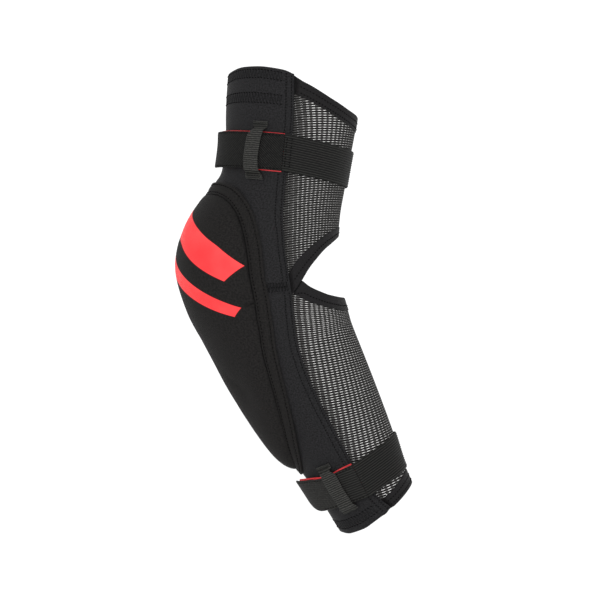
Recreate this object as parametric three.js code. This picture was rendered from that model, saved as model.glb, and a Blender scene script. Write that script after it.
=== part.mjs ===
// An elbow guard for sport: a bent sleeve of neoprene and open net, a foam pad sewn over the point of the
// elbow, and two elastic straps. Each strap closes on a hook tab that runs under a webbing keeper.
// Millimetres, +Z up. The origin is inside the elbow, where the axes of the upper arm and the forearm cross.
// -X is the point of the elbow, +X the crook of the arm, and -Y the flank on which the straps close.
import * as THREE from "three";

// The arm inside the sleeve. Both leans are from the vertical, and carry the two ends towards +X.
const UPPER_ARM_LEAN = 6;
const FOREARM_LEAN = 27.5;
const BEND_RADIUS = 120;

// Outside of the sleeve. A station is a distance along the arm's axis from the elbow, positive up the upper
// arm. Each section reaches from the axis to the outer side, to the crook and to either flank.
const SECTIONS = [
  { station: -164, outer: 30.0, crook: 29.8, flank: 29.5 },
  { station: -118, outer: 34.0, crook: 34.8, flank: 33.5 },
  { station: -84, outer: 39.2, crook: 39.2, flank: 37.5 },
  { station: -44, outer: 43.4, crook: 43.4, flank: 41.0 },
  { station: -18, outer: 46.8, crook: 45.8, flank: 42.5 },
  { station: 4, outer: 53.0, crook: 45.6, flank: 42.5 },
  { station: 26, outer: 58.5, crook: 43.8, flank: 42.0 },
  { station: 46, outer: 55.6, crook: 41.8, flank: 41.5 },
  { station: 66, outer: 50.0, crook: 41.6, flank: 41.0 },
  { station: 84, outer: 44.2, crook: 42.8, flank: 40.5 },
  { station: 104, outer: 43.4, crook: 44.2, flank: 41.0 },
  { station: 130, outer: 45.6, crook: 46.2, flank: 42.0 },
  { station: 164, outer: 46.5, crook: 47.0, flank: 43.0 },
];

// Seam between neoprene and net. An angle is measured round the axis, in degrees: 0 at the point of the
// elbow, 90 on the strap flank, 180 in the crook. The far flank's seam is the mirror image.
const SEAM = [
  { station: -162, angle: 108 },
  { station: -144, angle: 97 },
  { station: -120, angle: 89.5 },
  { station: -80, angle: 89.5 },
  { station: -55, angle: 91 },
  { station: -35, angle: 95 },
  { station: -12, angle: 101 },
  { station: 5, angle: 103.5 },
  { station: 20, angle: 102.5 },
  { station: 42, angle: 97.5 },
  { station: 65, angle: 93 },
  { station: 90, angle: 92.5 },
  { station: 115, angle: 94 },
  { station: 158, angle: 90 },
];

// Neoprene panels: rims, the cross seam at the elbow, wall and the hem folded inwards at each rim.
const TOP_RIM = 158;
const BOTTOM_RIM = -162;
const ELBOW_SEAM = 11;
const NEOPRENE = 2.4;
const HEM_WIDTH = 10;
const HEM_FOLD = 1;

// Net panels and the tapes that bind their edges. Each edge bows from its station at the flank seams (flank)
// to flank + bow in the crook, along half a sine wave raised to a power.
const NET = 1.4;
const TAPE_PROUD = 0.5;
const TAPE_INSIDE = 1.9;
const EDGES = {
  topRim: { flank: 155, bow: -21, power: 1 },
  topHemFoot: { flank: 143.5, bow: -18.5, power: 1 },
  upperBindingHead: { flank: 21.5, bow: 37, power: 0.8 },
  upperBindingFree: { flank: 5, bow: 48, power: 1 },
  lowerBindingFree: { flank: 21, bow: -31, power: 1 },
  lowerBindingFoot: { flank: 4, bow: -24.5, power: 1 },
  bottomHemHead: { flank: -152, bow: 6.5, power: 1 },
  bottomRim: { flank: -160, bow: 8.5, power: 1 },
};
// The lower binding starts just inside the seam, where the upper one passes over it.
const LOWER_BINDING_START = 0.012;

// Foam pad: half of its outline, from the top round the strap flank to the bottom.
const PAD_OUTLINE = [
  { station: 81, angle: 0 },
  { station: 79, angle: 33 },
  { station: 74.5, angle: 51.5 },
  { station: 66.5, angle: 64 },
  { station: 57, angle: 72 },
  { station: 43, angle: 78.5 },
  { station: 27, angle: 82.5 },
  { station: 6, angle: 84.5 },
  { station: -12, angle: 82.5 },
  { station: -37, angle: 73.5 },
  { station: -62, angle: 63.5 },
  { station: -85, angle: 50.5 },
  { station: -105, angle: 31.5 },
  { station: -112, angle: 18 },
  { station: -114, angle: 0 },
];
// Height of the foam above the sleeve along the pad's middle. It dips where the arm bends.
const PAD_CREST = [
  { station: -114, height: 10.6 },
  { station: -60, height: 10.6 },
  { station: -15, height: 9.2 },
  { station: 26, height: 12 },
  { station: 81, height: 12 },
];
const PAD_CENTRE = -12;
const PAD_SEAT = 0.8;
const PAD_BLUNT_TOP = 3;
const PAD_BLUNT_BOTTOM = 8;
const PAD_ROUND = 0.6;
const BORDER_WIDTH = 9;
const BORDER_TOP = 2;
const PAD_SPOKES = 56;
const PAD_RINGS = [1, 0.96, 0.9, 0.81, 0.7, 0.57, 0.43, 0.28, 0.14];

// Straps: the elastic runs from the far flank round the crook to the joint, where the tab takes over.
// droop carries the elastic's middle towards the hand in the crook, and rise lifts the tab's free end.
const STRAP_WIDTH = 25;
const STRAP_SEAT = 0.4;
const ELASTIC = 1.4;
const ELASTIC_SETTLED = 118;
const HOOK = 0.8;
const HOOK_MARGIN = 0.7;
const HOOK_SET_BACK = 1;
const TAB = 1.4;
const TAB_SEAT = 1.5;
const TAB_LOOSE_FROM = 58;
const STRAPS = [
  {
    name: "upper", station: 102.3, droop: 3.8, joint: 88, farEnd: 282, tabEnd: 7, rise: 2.8,
    cornerUp: 3, cornerDown: 3, keeper: 63,
  },
  {
    name: "lower", station: -132, droop: -1.8, joint: 89, farEnd: 284, tabEnd: 4, rise: 3.8,
    cornerUp: 2, cornerDown: 9, keeper: 61,
  },
];

// Webbing keeper over each tab: the sewn feet reach past the strap's edges.
const KEEPER_WIDTH = 10;
const KEEPER = 1.1;
const KEEPER_REACH = 20;
const KEEPER_FOOT = 4;

// Clearance between neighbouring pieces.
const GAP = 0.3;

const FINISHES = {
  neoprene: { color: 0x202022, roughness: 0.85, metalness: 0 },
  net: { color: 0x4a4846, roughness: 0.8, metalness: 0 },
  tape: { color: 0x1b1a1b, roughness: 0.8, metalness: 0 },
  padCover: { color: 0x1e1d1c, roughness: 0.9, metalness: 0 },
  elastic: { color: 0x1f1f1d, roughness: 0.85, metalness: 0 },
  tab: { color: 0x222221, roughness: 0.9, metalness: 0 },
  hook: { color: 0xc4202a, roughness: 0.6, metalness: 0 },
  webbing: { color: 0x262622, roughness: 0.7, metalness: 0 },
};

const { clamp, degToRad, lerp, smoothstep } = THREE.MathUtils;

// The column's value at a station, on a smooth curve through the table's rows that never overshoots them.
function column(table, name, station) {
  const last = table.length - 2;
  let row = 0;
  while (row < last && table[row + 1].station < station) row++;
  const span = (k) => table[k + 1].station - table[k].station;
  const rise = (k) => (table[k + 1][name] - table[k][name]) / span(k);
  const slope = (k) => {
    if (k === 0) return rise(0);
    if (k > last) return rise(last);
    const [before, after] = [rise(k - 1), rise(k)];
    if (before * after <= 0) return 0;
    const [near, far] = [2 * span(k) + span(k - 1), span(k) + 2 * span(k - 1)];
    return (near + far) / (near / before + far / after);
  };
  const width = span(row);
  const t = (station - table[row].station) / width;
  const s = 1 - t;
  return (
    table[row][name] * (1 + 2 * t) * s * s + slope(row) * width * t * s * s +
    table[row + 1][name] * t * t * (3 - 2 * t) - slope(row + 1) * width * t * t * s
  );
}

// The arm's axis at a station: a point and the direction up the arm, in the plane of the bend.
function axisAt(station) {
  const bend = degToRad(UPPER_ARM_LEAN + FOREARM_LEAN);
  const halfArc = (BEND_RADIUS * bend) / 2;
  const lean = degToRad(UPPER_ARM_LEAN);
  const turn = lean - clamp((halfArc - station) / BEND_RADIUS, 0, bend);
  const tangent = BEND_RADIUS * Math.tan(bend / 2);
  const centreX = tangent * Math.sin(lean) + BEND_RADIUS * Math.cos(lean);
  const centreZ = tangent * Math.cos(lean) - BEND_RADIUS * Math.sin(lean);
  const straight = station - clamp(station, -halfArc, halfArc);
  return {
    x: centreX - BEND_RADIUS * Math.cos(turn) + straight * Math.sin(turn),
    z: centreZ + BEND_RADIUS * Math.sin(turn) + straight * Math.cos(turn),
    alongX: Math.sin(turn),
    alongZ: Math.cos(turn),
  };
}

// A point on the sleeve's outside, or lifted off it along its normal.
function skin(station, angle, lift) {
  const turn = degToRad(angle);
  const depth = column(SECTIONS, Math.cos(turn) > 0 ? "outer" : "crook", station);
  const flank = column(SECTIONS, "flank", station);
  const normal = new THREE.Vector2(Math.cos(turn) / depth, Math.sin(turn) / flank).normalize();
  const out = depth * Math.cos(turn) + lift * normal.x;
  const aside = flank * Math.sin(turn) + lift * normal.y;
  const axis = axisAt(station);
  return new THREE.Vector3(axis.x - axis.alongZ * out, -aside, axis.z + axis.alongX * out);
}

// Length of one degree round the outer half of the sleeve.
function degreeLength(station) {
  return degToRad((column(SECTIONS, "outer", station) + column(SECTIONS, "flank", station)) / 2);
}

// A closed solid from its corners and triangles, turned so that its faces point out.
function solid(corners, faces) {
  let volume = 0;
  for (let k = 0; k < faces.length; k += 3) {
    const [a, b, c] = faces.slice(k, k + 3).map((corner) => corners[corner]);
    volume += a.dot(b.clone().cross(c));
  }
  if (volume < 0) faces.reverse();
  return new THREE.BufferGeometry().setFromPoints(corners).setIndex(faces);
}

// Evenly spaced values, both ends included.
function steps(count, from = 0, to = 1) {
  return Array.from({ length: count + 1 }, (_, k) => lerp(from, to, k / count));
}

// A wall over a grid: place(u, v, side) gives a corner, with side 0 on the inside and 1 on the outside.
function wall(us, vs, place) {
  const corners = [0, 1].flatMap((side) => us.flatMap((u) => vs.map((v) => place(u, v, side))));
  const at = (side, i, j) => (side * us.length + i) * vs.length + j;
  const faces = [];
  const quad = (a, b, c, d) => faces.push(a, b, c, a, c, d);
  const [lastU, lastV] = [us.length - 1, vs.length - 1];
  for (let i = 0; i < lastU; i++) {
    for (let j = 0; j < lastV; j++) {
      quad(at(1, i, j), at(1, i, j + 1), at(1, i + 1, j + 1), at(1, i + 1, j));
      quad(at(0, i, j), at(0, i + 1, j), at(0, i + 1, j + 1), at(0, i, j + 1));
    }
    quad(at(0, i, 0), at(1, i, 0), at(1, i + 1, 0), at(0, i + 1, 0));
    quad(at(0, i, lastV), at(0, i + 1, lastV), at(1, i + 1, lastV), at(1, i, lastV));
  }
  for (let j = 0; j < lastV; j++) {
    quad(at(0, 0, j), at(0, 0, j + 1), at(1, 0, j + 1), at(1, 0, j));
    quad(at(0, lastU, j), at(1, lastU, j), at(1, lastU, j + 1), at(0, lastU, j + 1));
  }
  return solid(corners, faces);
}

// A solid carried round the pad: place(turn, row) sets each row of a profile, with turn from 0 to 1.
// The profile closes on itself, or runs from one pole to the other.
function roundPad(rows, place, poles) {
  const corners = steps(PAD_SPOKES).slice(0, -1).flatMap((turn) => rows.map((row) => place(turn, row)));
  const at = (spoke, k) => (spoke % PAD_SPOKES) * rows.length + (k % rows.length);
  const faces = [];
  const strips = poles ? rows.length - 1 : rows.length;
  for (let spoke = 0; spoke < PAD_SPOKES; spoke++) {
    for (let k = 0; k < strips; k++) {
      faces.push(at(spoke, k), at(spoke, k + 1), at(spoke + 1, k + 1));
      faces.push(at(spoke, k), at(spoke + 1, k + 1), at(spoke + 1, k));
    }
    if (poles) {
      faces.push(at(spoke, 0), at(spoke + 1, 0), corners.length);
      faces.push(at(spoke + 1, strips), at(spoke, strips), corners.length + 1);
    }
  }
  return solid(corners.concat(poles ?? []), faces);
}

// One half of the neoprene, from the flank seam over the outer side to the far seam.
function neoprene(stations) {
  return wall(stations, steps(22, -1, 1), (station, v, side) => {
    const toRim = Math.min(TOP_RIM - station, station - BOTTOM_RIM);
    const inside = toRim < HEM_WIDTH ? NEOPRENE + HEM_FOLD : NEOPRENE;
    return skin(station, v * column(SEAM, "angle", station), side ? 0 : -inside);
  });
}

function sleevePanels() {
  const topHem = TOP_RIM - HEM_WIDTH;
  const bottomHem = BOTTOM_RIM + HEM_WIDTH;
  const upper = [...steps(18, ELBOW_SEAM + GAP / 2, topHem - GAP), topHem + GAP, TOP_RIM];
  const lower = [BOTTOM_RIM, bottomHem - GAP, ...steps(21, bottomHem + GAP, ELBOW_SEAM - GAP / 2)];
  return { sleeve_upper: neoprene(upper), sleeve_lower: neoprene(lower) };
}

// Columns that the net and its tapes share, so that their edges run side by side: 0 is the strap flank's seam
// and 1 the far seam.
const ACROSS = steps(22);

// Station of a net edge at a column.
function edge(name, across) {
  const { flank, bow, power } = EDGES[name];
  return flank + bow * Math.sin(Math.PI * across) ** power;
}

// A strip of the crook side between two stations, each a function of across, set off from the flank seams.
function crookStrip(rows, vs, low, high, inside, outside) {
  return wall(steps(rows), vs, (u, v, side) => {
    const station = lerp(low(v), high(v), u);
    const start = column(SEAM, "angle", station) + GAP / degreeLength(station);
    return skin(station, lerp(start, 360 - start, v), side ? outside : -inside);
  });
}

function netPanels() {
  const panel = (rows, foot, head) =>
    crookStrip(rows, ACROSS, (v) => edge(foot, v) + GAP, (v) => edge(head, v) - GAP, NET, 0);
  return {
    net_upper: panel(8, "upperBindingHead", "topHemFoot"),
    net_lower: panel(12, "bottomHemHead", "lowerBindingFoot"),
  };
}

function bindings() {
  const tape = (foot, head, vs = ACROSS) => crookStrip(2, vs, foot, head, TAPE_INSIDE, TAPE_PROUD);
  const at = (name) => (v) => edge(name, v);
  const underUpper = (v) => Math.min(edge("lowerBindingFree", v), edge("upperBindingFree", v) - 2 * GAP);
  const lowerSpan = ACROSS.map((v) => clamp(v, LOWER_BINDING_START, 1 - LOWER_BINDING_START));
  return {
    net_top_hem: tape(at("topHemFoot"), at("topRim")),
    net_bottom_hem: tape(at("bottomRim"), at("bottomHemHead")),
    crease_binding_upper: tape(at("upperBindingFree"), at("upperBindingHead")),
    crease_binding_lower: tape(at("lowerBindingFoot"), underUpper, lowerSpan),
  };
}

// The pad's outline as a closed curve in the flat chart of stations and arc lengths, moved in by an inset.
function padOutline() {
  const chart = ({ station, angle }) => new THREE.Vector3(station, angle * degreeLength(station), 0);
  const half = PAD_OUTLINE.map(chart);
  const farHalf = half.slice(1, -1).reverse().map(({ x, y }) => new THREE.Vector3(x, -y, 0));
  const curve = new THREE.CatmullRomCurve3([...half, ...farHalf], true, "centripetal");
  return (turn, inset) => {
    const point = curve.getPointAt(turn);
    const tangent = curve.getTangentAt(turn);
    const station = point.x - inset * tangent.y;
    const arc = point.y + inset * tangent.x;
    return { station, angle: arc / degreeLength(station) };
  };
}

function padBorder(outline) {
  const inner = BORDER_WIDTH - GAP;
  const rows = [
    { inset: 0, lift: PAD_SEAT },
    { inset: 0, lift: BORDER_TOP },
    { inset: inner / 2, lift: BORDER_TOP },
    { inset: inner, lift: BORDER_TOP },
    { inset: inner, lift: PAD_SEAT },
    { inset: inner / 2, lift: PAD_SEAT },
  ];
  return roundPad(rows, (turn, { inset, lift }) => {
    const { station, angle } = outline(turn, inset);
    return skin(station, angle, lift);
  });
}

// The foam dome inside the border: rings shrink from its edge to the centre, and its bottom end is blunter.
function elbowPad(outline) {
  const end = outline(0.5, BORDER_WIDTH).station;
  const rows = [
    ...PAD_RINGS.map((share) => ({ share, top: false })).reverse(),
    ...PAD_RINGS.map((share) => ({ share, top: true })),
  ];
  const dome = (turn, { share, top }) => {
    const foot = outline(turn, BORDER_WIDTH);
    const station = lerp(PAD_CENTRE, foot.station, share);
    const towardsEnd = clamp((PAD_CENTRE - foot.station) / (PAD_CENTRE - end), 0, 1);
    const blunt = lerp(PAD_BLUNT_TOP, PAD_BLUNT_BOTTOM, towardsEnd);
    const crest = column(PAD_CREST, "height", station) - BORDER_TOP;
    const height = BORDER_TOP + crest * (1 - share ** blunt) ** PAD_ROUND;
    return skin(station, foot.angle * share, top ? height : PAD_SEAT);
  };
  const poles = [dome(0, { share: 0, top: false }), dome(0, { share: 0, top: true })];
  return roundPad(rows, dome, poles);
}

// Station of a strap's middle at an angle: level over the outer side, drooping in the crook.
function strapMiddle(strap, angle) {
  const inCrook = clamp((angle - 90) / 180, 0, 1);
  return strap.station - strap.droop * Math.sin(Math.PI * inCrook);
}

// The elastic lies on the net and the far flank, and steps up to the tab at the joint.
function elastic(strap) {
  return wall(steps(36, strap.joint, strap.farEnd), steps(2, -0.5, 0.5), (angle, v, side) => {
    const settled = smoothstep(angle, strap.joint, ELASTIC_SETTLED);
    const lift = lerp(TAB_SEAT, STRAP_SEAT, settled) + (side ? ELASTIC : 0);
    return skin(strapMiddle(strap, angle) + v * STRAP_WIDTH, angle, lift);
  });
}

// Half width left beside a rounded corner, at a distance from the strip's end.
function rounded(halfWidth, corner, fromEnd) {
  const into = Math.max(corner - fromEnd, 0);
  return halfWidth - corner + Math.sqrt(Math.max(corner * corner - into * into, 0));
}

// A strip from the joint to the tab's free end, which stands off the sleeve.
function tabStrip(strap, halfWidth, seat, thickness, setBack) {
  const along = [0, 0.12, 0.24, 0.36, 0.48, 0.6, 0.7, 0.8, 0.88, 0.93, 0.97, 0.99, 1];
  const perDegree = degreeLength(strap.station);
  const end = strap.tabEnd + setBack;
  return wall(along, steps(2), (u, v, side) => {
    const angle = lerp(strap.joint - GAP / perDegree, end, u);
    const fromEnd = (angle - end) * perDegree;
    const up = rounded(halfWidth, strap.cornerUp, fromEnd);
    const down = rounded(halfWidth, strap.cornerDown, fromEnd);
    const loose = strap.rise * (1 - smoothstep(angle, strap.tabEnd, TAB_LOOSE_FROM));
    return skin(strap.station + lerp(-down, up, v), angle, seat + loose + (side ? thickness : 0));
  });
}

// Webbing that bridges the tab, sewn to the sleeve at both feet.
function keeper(strap) {
  const clear = STRAP_WIDTH / 2 + HOOK_MARGIN;
  const foot = KEEPER_REACH - KEEPER_FOOT;
  const half = [clear / 2, clear, lerp(clear, foot, 1 / 3), lerp(clear, foot, 2 / 3), foot, KEEPER_REACH];
  const reaches = [...half.map((reach) => -reach).reverse(), 0, ...half];
  const bridge = TAB_SEAT + TAB + 2 * GAP;
  const halfTurn = KEEPER_WIDTH / 2 / degreeLength(strap.station);
  return wall(reaches, steps(2, -halfTurn, halfTurn), (reach, turn, side) => {
    const down = smoothstep(Math.abs(reach), clear, foot);
    const lift = lerp(bridge, STRAP_SEAT, down) + (side ? KEEPER : 0);
    return skin(strap.station + reach, strap.keeper + turn, lift);
  });
}

function strapPieces(strap) {
  const half = STRAP_WIDTH / 2;
  return [
    piece(`strap_${strap.name}`, elastic(strap), "elastic"),
    piece(`tab_${strap.name}`, tabStrip(strap, half, TAB_SEAT, TAB, 0), "tab"),
    piece(`hook_${strap.name}`, tabStrip(strap, half + HOOK_MARGIN, STRAP_SEAT, HOOK, HOOK_SET_BACK), "hook"),
    piece(`keeper_${strap.name}`, keeper(strap), "webbing"),
  ];
}

function piece(name, geometry, finish) {
  const mesh = new THREE.Mesh(geometry, new THREE.MeshStandardMaterial(FINISHES[finish]));
  mesh.name = name;
  return mesh;
}

const pieces = (geometries, finish) =>
  Object.entries(geometries).map(([name, geometry]) => piece(name, geometry, finish));

const sleeve = new THREE.Group().add(
  ...pieces(sleevePanels(), "neoprene"),
  ...pieces(netPanels(), "net"),
  ...pieces(bindings(), "tape"),
);
const outline = padOutline();
const pad = new THREE.Group().add(
  ...pieces({ elbow_pad: elbowPad(outline), pad_border: padBorder(outline) }, "padCover"),
);
const straps = STRAPS.map((strap) => new THREE.Group().add(...strapPieces(strap)));

export default new THREE.Group().add(sleeve, pad, ...straps);
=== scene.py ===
# %% [markdown]
# # Dressing an elbow guard
#
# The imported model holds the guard's eighteen pieces at their real size, with plain faceted faces. This
# lesson gives each of them its cloth: smooth panels, real holes in the net, thread in the seams and a pad
# that is blown up by a cloth simulation. Sizes are written in millimetres, as a pattern cutter writes them,
# and one factor turns them into Blender's metres.

# %% Load the frame
import math

import bpy
import numpy as np
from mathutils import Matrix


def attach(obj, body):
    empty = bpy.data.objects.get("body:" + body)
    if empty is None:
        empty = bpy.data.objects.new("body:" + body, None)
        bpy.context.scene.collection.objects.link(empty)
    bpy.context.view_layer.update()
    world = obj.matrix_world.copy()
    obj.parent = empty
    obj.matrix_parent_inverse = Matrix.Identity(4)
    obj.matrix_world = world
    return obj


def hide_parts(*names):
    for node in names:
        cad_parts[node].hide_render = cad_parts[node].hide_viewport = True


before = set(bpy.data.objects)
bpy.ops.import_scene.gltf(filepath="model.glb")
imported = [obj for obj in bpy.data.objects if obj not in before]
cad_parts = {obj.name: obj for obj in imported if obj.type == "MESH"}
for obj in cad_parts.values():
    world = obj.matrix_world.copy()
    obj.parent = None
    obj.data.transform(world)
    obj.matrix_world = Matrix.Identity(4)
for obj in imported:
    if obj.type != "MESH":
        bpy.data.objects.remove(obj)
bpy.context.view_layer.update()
MM = 0.001

# %% [markdown]
# ## Camera
#
# The camera comes first, so that every later choice can be judged in the picture. It stands level on the
# strap side and looks along +Y. Its lens follows from two plain facts: how far off it stands, and how much
# of the object's plane fits across the picture.

# %% Camera
CAMERA_AT = (0.0203, -1.2, 0.0035)
SENSOR_WIDTH = 36.0
VIEW_WIDTH = 0.42

camera_data = bpy.data.cameras.new("camera")
camera_data.sensor_width = SENSOR_WIDTH
camera_data.lens = SENSOR_WIDTH * -CAMERA_AT[1] / VIEW_WIDTH
camera = bpy.data.objects.new("camera", camera_data)
camera.location = CAMERA_AT
camera.rotation_euler = (math.pi / 2, 0, 0)
bpy.context.scene.collection.objects.link(camera)
bpy.context.scene.camera = camera
print("camera lens:", round(camera_data.lens, 1), "mm")

# %% [markdown]
# ## The arm as a map
#
# Every piece lies on one bent arm, so one map serves them all. A place on it is a station (millimetres
# along the arm, 0 at the elbow), an angle (0 at the point of the elbow, 90 on the strap flank, 180 in the
# crook) and a lift off the sleeve's outside. Modelling the pieces as separate meshes and fitting them would
# be the other way. With the map, a strap or a stitch is right by construction wherever the arm bends or
# swells.


# %% Smooth columns
def smooth_column(places, values):
    """A function through a table's rows that never overshoots them.

    Between two rows it is a cubic. Its slope at a row is the weighted harmonic mean of the rises on both
    sides, or zero where the rise changes sign.
    """
    x = np.array(places, float)
    y = np.array(values, float)
    width = np.diff(x)
    rise = np.diff(y) / width
    near = 2 * width[1:] + width[:-1]
    far = width[1:] + 2 * width[:-1]
    climbs = rise[:-1] * rise[1:] > 0
    before = np.where(climbs, rise[:-1], 1)
    after = np.where(climbs, rise[1:], 1)
    inner = np.where(climbs, (near + far) / (near / before + far / after), 0)
    slope = np.concatenate([rise[:1], inner, rise[-1:]])

    def at(place):
        k = np.clip(np.searchsorted(x, place) - 1, 0, len(x) - 2)
        t = (place - x[k]) / width[k]
        s = 1 - t
        from_low = y[k] * (1 + 2 * t) * s**2 + slope[k] * width[k] * t * s**2
        from_high = y[k + 1] * t**2 * (3 - 2 * t) - slope[k + 1] * width[k] * t**2 * s
        return from_low + from_high

    return at


def smoothstep(value, low, high):
    """0 below low, 1 above high, and a smooth S between them."""
    t = np.clip((value - low) / (high - low), 0, 1)
    return t * t * (3 - 2 * t)


def lerp(low, high, share):
    """The value a share of the way from low to high."""
    return low + (high - low) * share


# %% The sleeve's outside
UPPER_ARM_LEAN = math.radians(6)
FOREARM_LEAN = math.radians(27.5)
BEND_RADIUS = 120.0
GAP = 0.3
TOP_RIM = 158.0
BOTTOM_RIM = -162.0
RIM_WAVE_SPAN = (122, 158)
CUFF_WAVE_SPAN = (140, 162)

SECTION_STATIONS = [-164, -143, -118, -84, -44, -18, 4, 26, 46, 66, 84, 104, 130, 164]
outer_depth = smooth_column(
    SECTION_STATIONS, [30, 31.8, 34, 39.2, 43.4, 46.8, 53, 58.5, 55.6, 50, 44.2, 43.4, 45.6, 46.5]
)
crook_depth = smooth_column(
    SECTION_STATIONS, [29.8, 30.8, 34.8, 39.2, 43.4, 45.8, 45.6, 43.8, 41.8, 41.6, 42.8, 44.2, 46.2, 47]
)
flank_width = smooth_column(
    SECTION_STATIONS, [29.5, 31.3, 33.5, 37.5, 41, 42.5, 42.5, 42, 41.5, 41, 40.5, 41, 42, 43]
)
seam_angle = smooth_column(
    [-162, -144, -120, -80, -55, -35, -12, 5, 20, 42, 65, 90, 115, 158],
    [108, 97, 89.5, 89.5, 91, 95, 101, 103.5, 102.5, 97.5, 93, 92.5, 94, 90],
)
rim_wave = smooth_column([0, 15, 40, 58, 72, 84, 92, 105, 180], [-1.6, -1.0, 1.4, 1.8, 1.1, 0, -1.2, -0.3, 0])
cuff_wave = smooth_column([0, 15, 38, 62, 80, 96, 180], [0, -0.6, -2.4, -2.6, -1.2, 0, 0])


def arm_axis(station):
    """The axis at a station: x, z and lean. It is two straight lines joined by an arc about one centre."""
    bend = UPPER_ARM_LEAN + FOREARM_LEAN
    half_arc = BEND_RADIUS * bend / 2
    lean = UPPER_ARM_LEAN - np.clip((half_arc - station) / BEND_RADIUS, 0, bend)
    tangent = BEND_RADIUS * math.tan(bend / 2)
    centre_x = tangent * math.sin(UPPER_ARM_LEAN) + BEND_RADIUS * math.cos(UPPER_ARM_LEAN)
    centre_z = tangent * math.cos(UPPER_ARM_LEAN) - BEND_RADIUS * math.sin(UPPER_ARM_LEAN)
    straight = station - np.clip(station, -half_arc, half_arc)
    x = centre_x - BEND_RADIUS * np.cos(lean) + straight * np.sin(lean)
    z = centre_z + BEND_RADIUS * np.sin(lean) + straight * np.cos(lean)
    return x, z, lean


def skin(station, angle, lift=0.0):
    """Points on the sleeve's outside, lifted along its normal.

    A section is two half ellipses, one towards the elbow's point and one towards the crook, square to the
    axis. Near both rims the stations rise and fall a little round the arm, as a worn rim is never level.
    """
    station, angle, lift = np.broadcast_arrays(np.asarray(station, float), angle, lift)
    turn = np.radians(angle)
    depth = np.where(np.cos(turn) > 0, outer_depth(station), crook_depth(station))
    width = flank_width(station)
    normal = np.stack([np.cos(turn) / depth, np.sin(turn) / width])
    normal = normal / np.linalg.norm(normal, axis=0)
    out = depth * np.cos(turn) + lift * normal[0]
    aside = width * np.sin(turn) + lift * normal[1]
    fold = np.abs(np.mod(angle + 180, 360) - 180)
    wave = rim_wave(fold) * smoothstep(station, *RIM_WAVE_SPAN)
    wave = wave + cuff_wave(fold) * smoothstep(-station, *CUFF_WAVE_SPAN)
    x, z, lean = arm_axis(station + wave)
    return np.stack([x - np.cos(lean) * out, -aside, z + np.sin(lean) * out], -1)


def degree_length(station):
    """Millimetres to one degree round the outer half of the sleeve."""
    return np.radians((outer_depth(station) + flank_width(station)) / 2)


def crook_degree_length(station):
    """Millimetres to one degree round the crook half of the sleeve."""
    return np.radians((crook_depth(station) + flank_width(station)) / 2)


print("girth at the rims:", [round(360 * float(degree_length(s))) for s in (TOP_RIM, BOTTOM_RIM)], "mm")

# %% [markdown]
# ## From grids to pieces
#
# Cloth has a thickness, so most pieces are a wall: an outside grid, an inside grid, and strips that close
# the four edges. Solidify could add the thickness, but then the folded hems and rounded edges would have to
# be cut afterwards. Each piece also carries a flat map named cloth, in millimetres, because weave and print
# follow the cloth and not the room. One helper turns arrays into an object, faces out, hangs it on the root
# body and hides the imported parts that it stands for.


# %% Grid helpers
def patch(index):
    """Quads over a grid of vertex numbers."""
    return np.stack([index[:-1, :-1], index[:-1, 1:], index[1:, 1:], index[1:, :-1]], -1).reshape(-1, 4)


def strip(near, far):
    """Quads between two lines of vertex numbers."""
    return np.stack([near[1:], near[:-1], far[:-1], far[1:]], -1)


def wall(outside, inside, cloth):
    """A closed wall: two grids of points joined by a strip along each of their four edges."""
    front = np.arange(outside[..., 0].size).reshape(outside.shape[:2])
    back = front + front.size
    quads = [
        patch(front),
        patch(back)[:, ::-1],
        strip(front[0], back[0]),
        strip(front[-1, ::-1], back[-1, ::-1]),
        strip(front[::-1, 0], back[::-1, 0]),
        strip(front[:, -1], back[:, -1]),
    ]
    points = np.concatenate([outside.reshape(-1, 3), inside.reshape(-1, 3)])
    return points, np.concatenate(quads), np.tile(cloth.reshape(-1, 2), (2, 1))


def ring(grid, cloth):
    """A closed ring: a profile, the grid's second index, carried round a loop, its first."""
    index = np.arange(grid[..., 0].size).reshape(grid.shape[:2])
    beside = np.roll(index, -1, 1)
    quads = np.stack([index, beside, np.roll(beside, -1, 0), np.roll(index, -1, 0)], -1).reshape(-1, 4)
    return grid.reshape(-1, 3), quads, cloth.reshape(-1, 2)


def joined(shapes):
    """Several shapes as one, their quads renumbered."""
    starts = np.cumsum([0] + [len(points) for points, _, _ in shapes])[:-1]
    points = np.concatenate([points for points, _, _ in shapes])
    quads = np.concatenate([quads + start for (_, quads, _), start in zip(shapes, starts)])
    return points, quads, np.concatenate([cloth for _, _, cloth in shapes])


CLOSE_STEPS = np.array([-1.2, -0.8, -0.4, -0.15, 0, 0.15, 0.4, 0.8, 1.2])
LEAST_STEP = 0.1


def samples(low, high, step, close=()):
    """Places from low to high, about a step apart, with more of them round each place in close."""
    even = np.linspace(low, high, 1 + round((high - low) / step))
    near = (np.array(close, float)[:, None] + CLOSE_STEPS).ravel()
    places = np.unique(np.concatenate([even, near[(near > low) & (near < high)]]))
    places = places[np.append(True, np.diff(places) > LEAST_STEP)]
    places[-1] = high
    return places


def edge_drop(distance, radius):
    """How far a rounded edge falls: a quarter circle, its radius at distance 0 and nothing at the radius."""
    inset = np.clip(1 - distance / radius, 0, 1)
    return radius * (1 - np.sqrt(1 - inset**2))


def groove(distance, width, depth):
    """A sewn channel: a bell-shaped dip about distance 0."""
    return -depth * np.exp(-((distance / width) ** 2))


# %% The piece maker
SHARP_ANGLE = math.radians(50)


def surface_area(shape):
    """Area of one face of a closed thin wall, in square metres: half of its whole surface."""
    points, quads, _ = shape
    a, b, c, d = (points[quads[:, k]] * MM for k in range(4))
    halves = np.linalg.norm(np.cross(b - a, c - a), axis=1) + np.linalg.norm(np.cross(c - a, d - a), axis=1)
    return halves.sum() / 4


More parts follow.
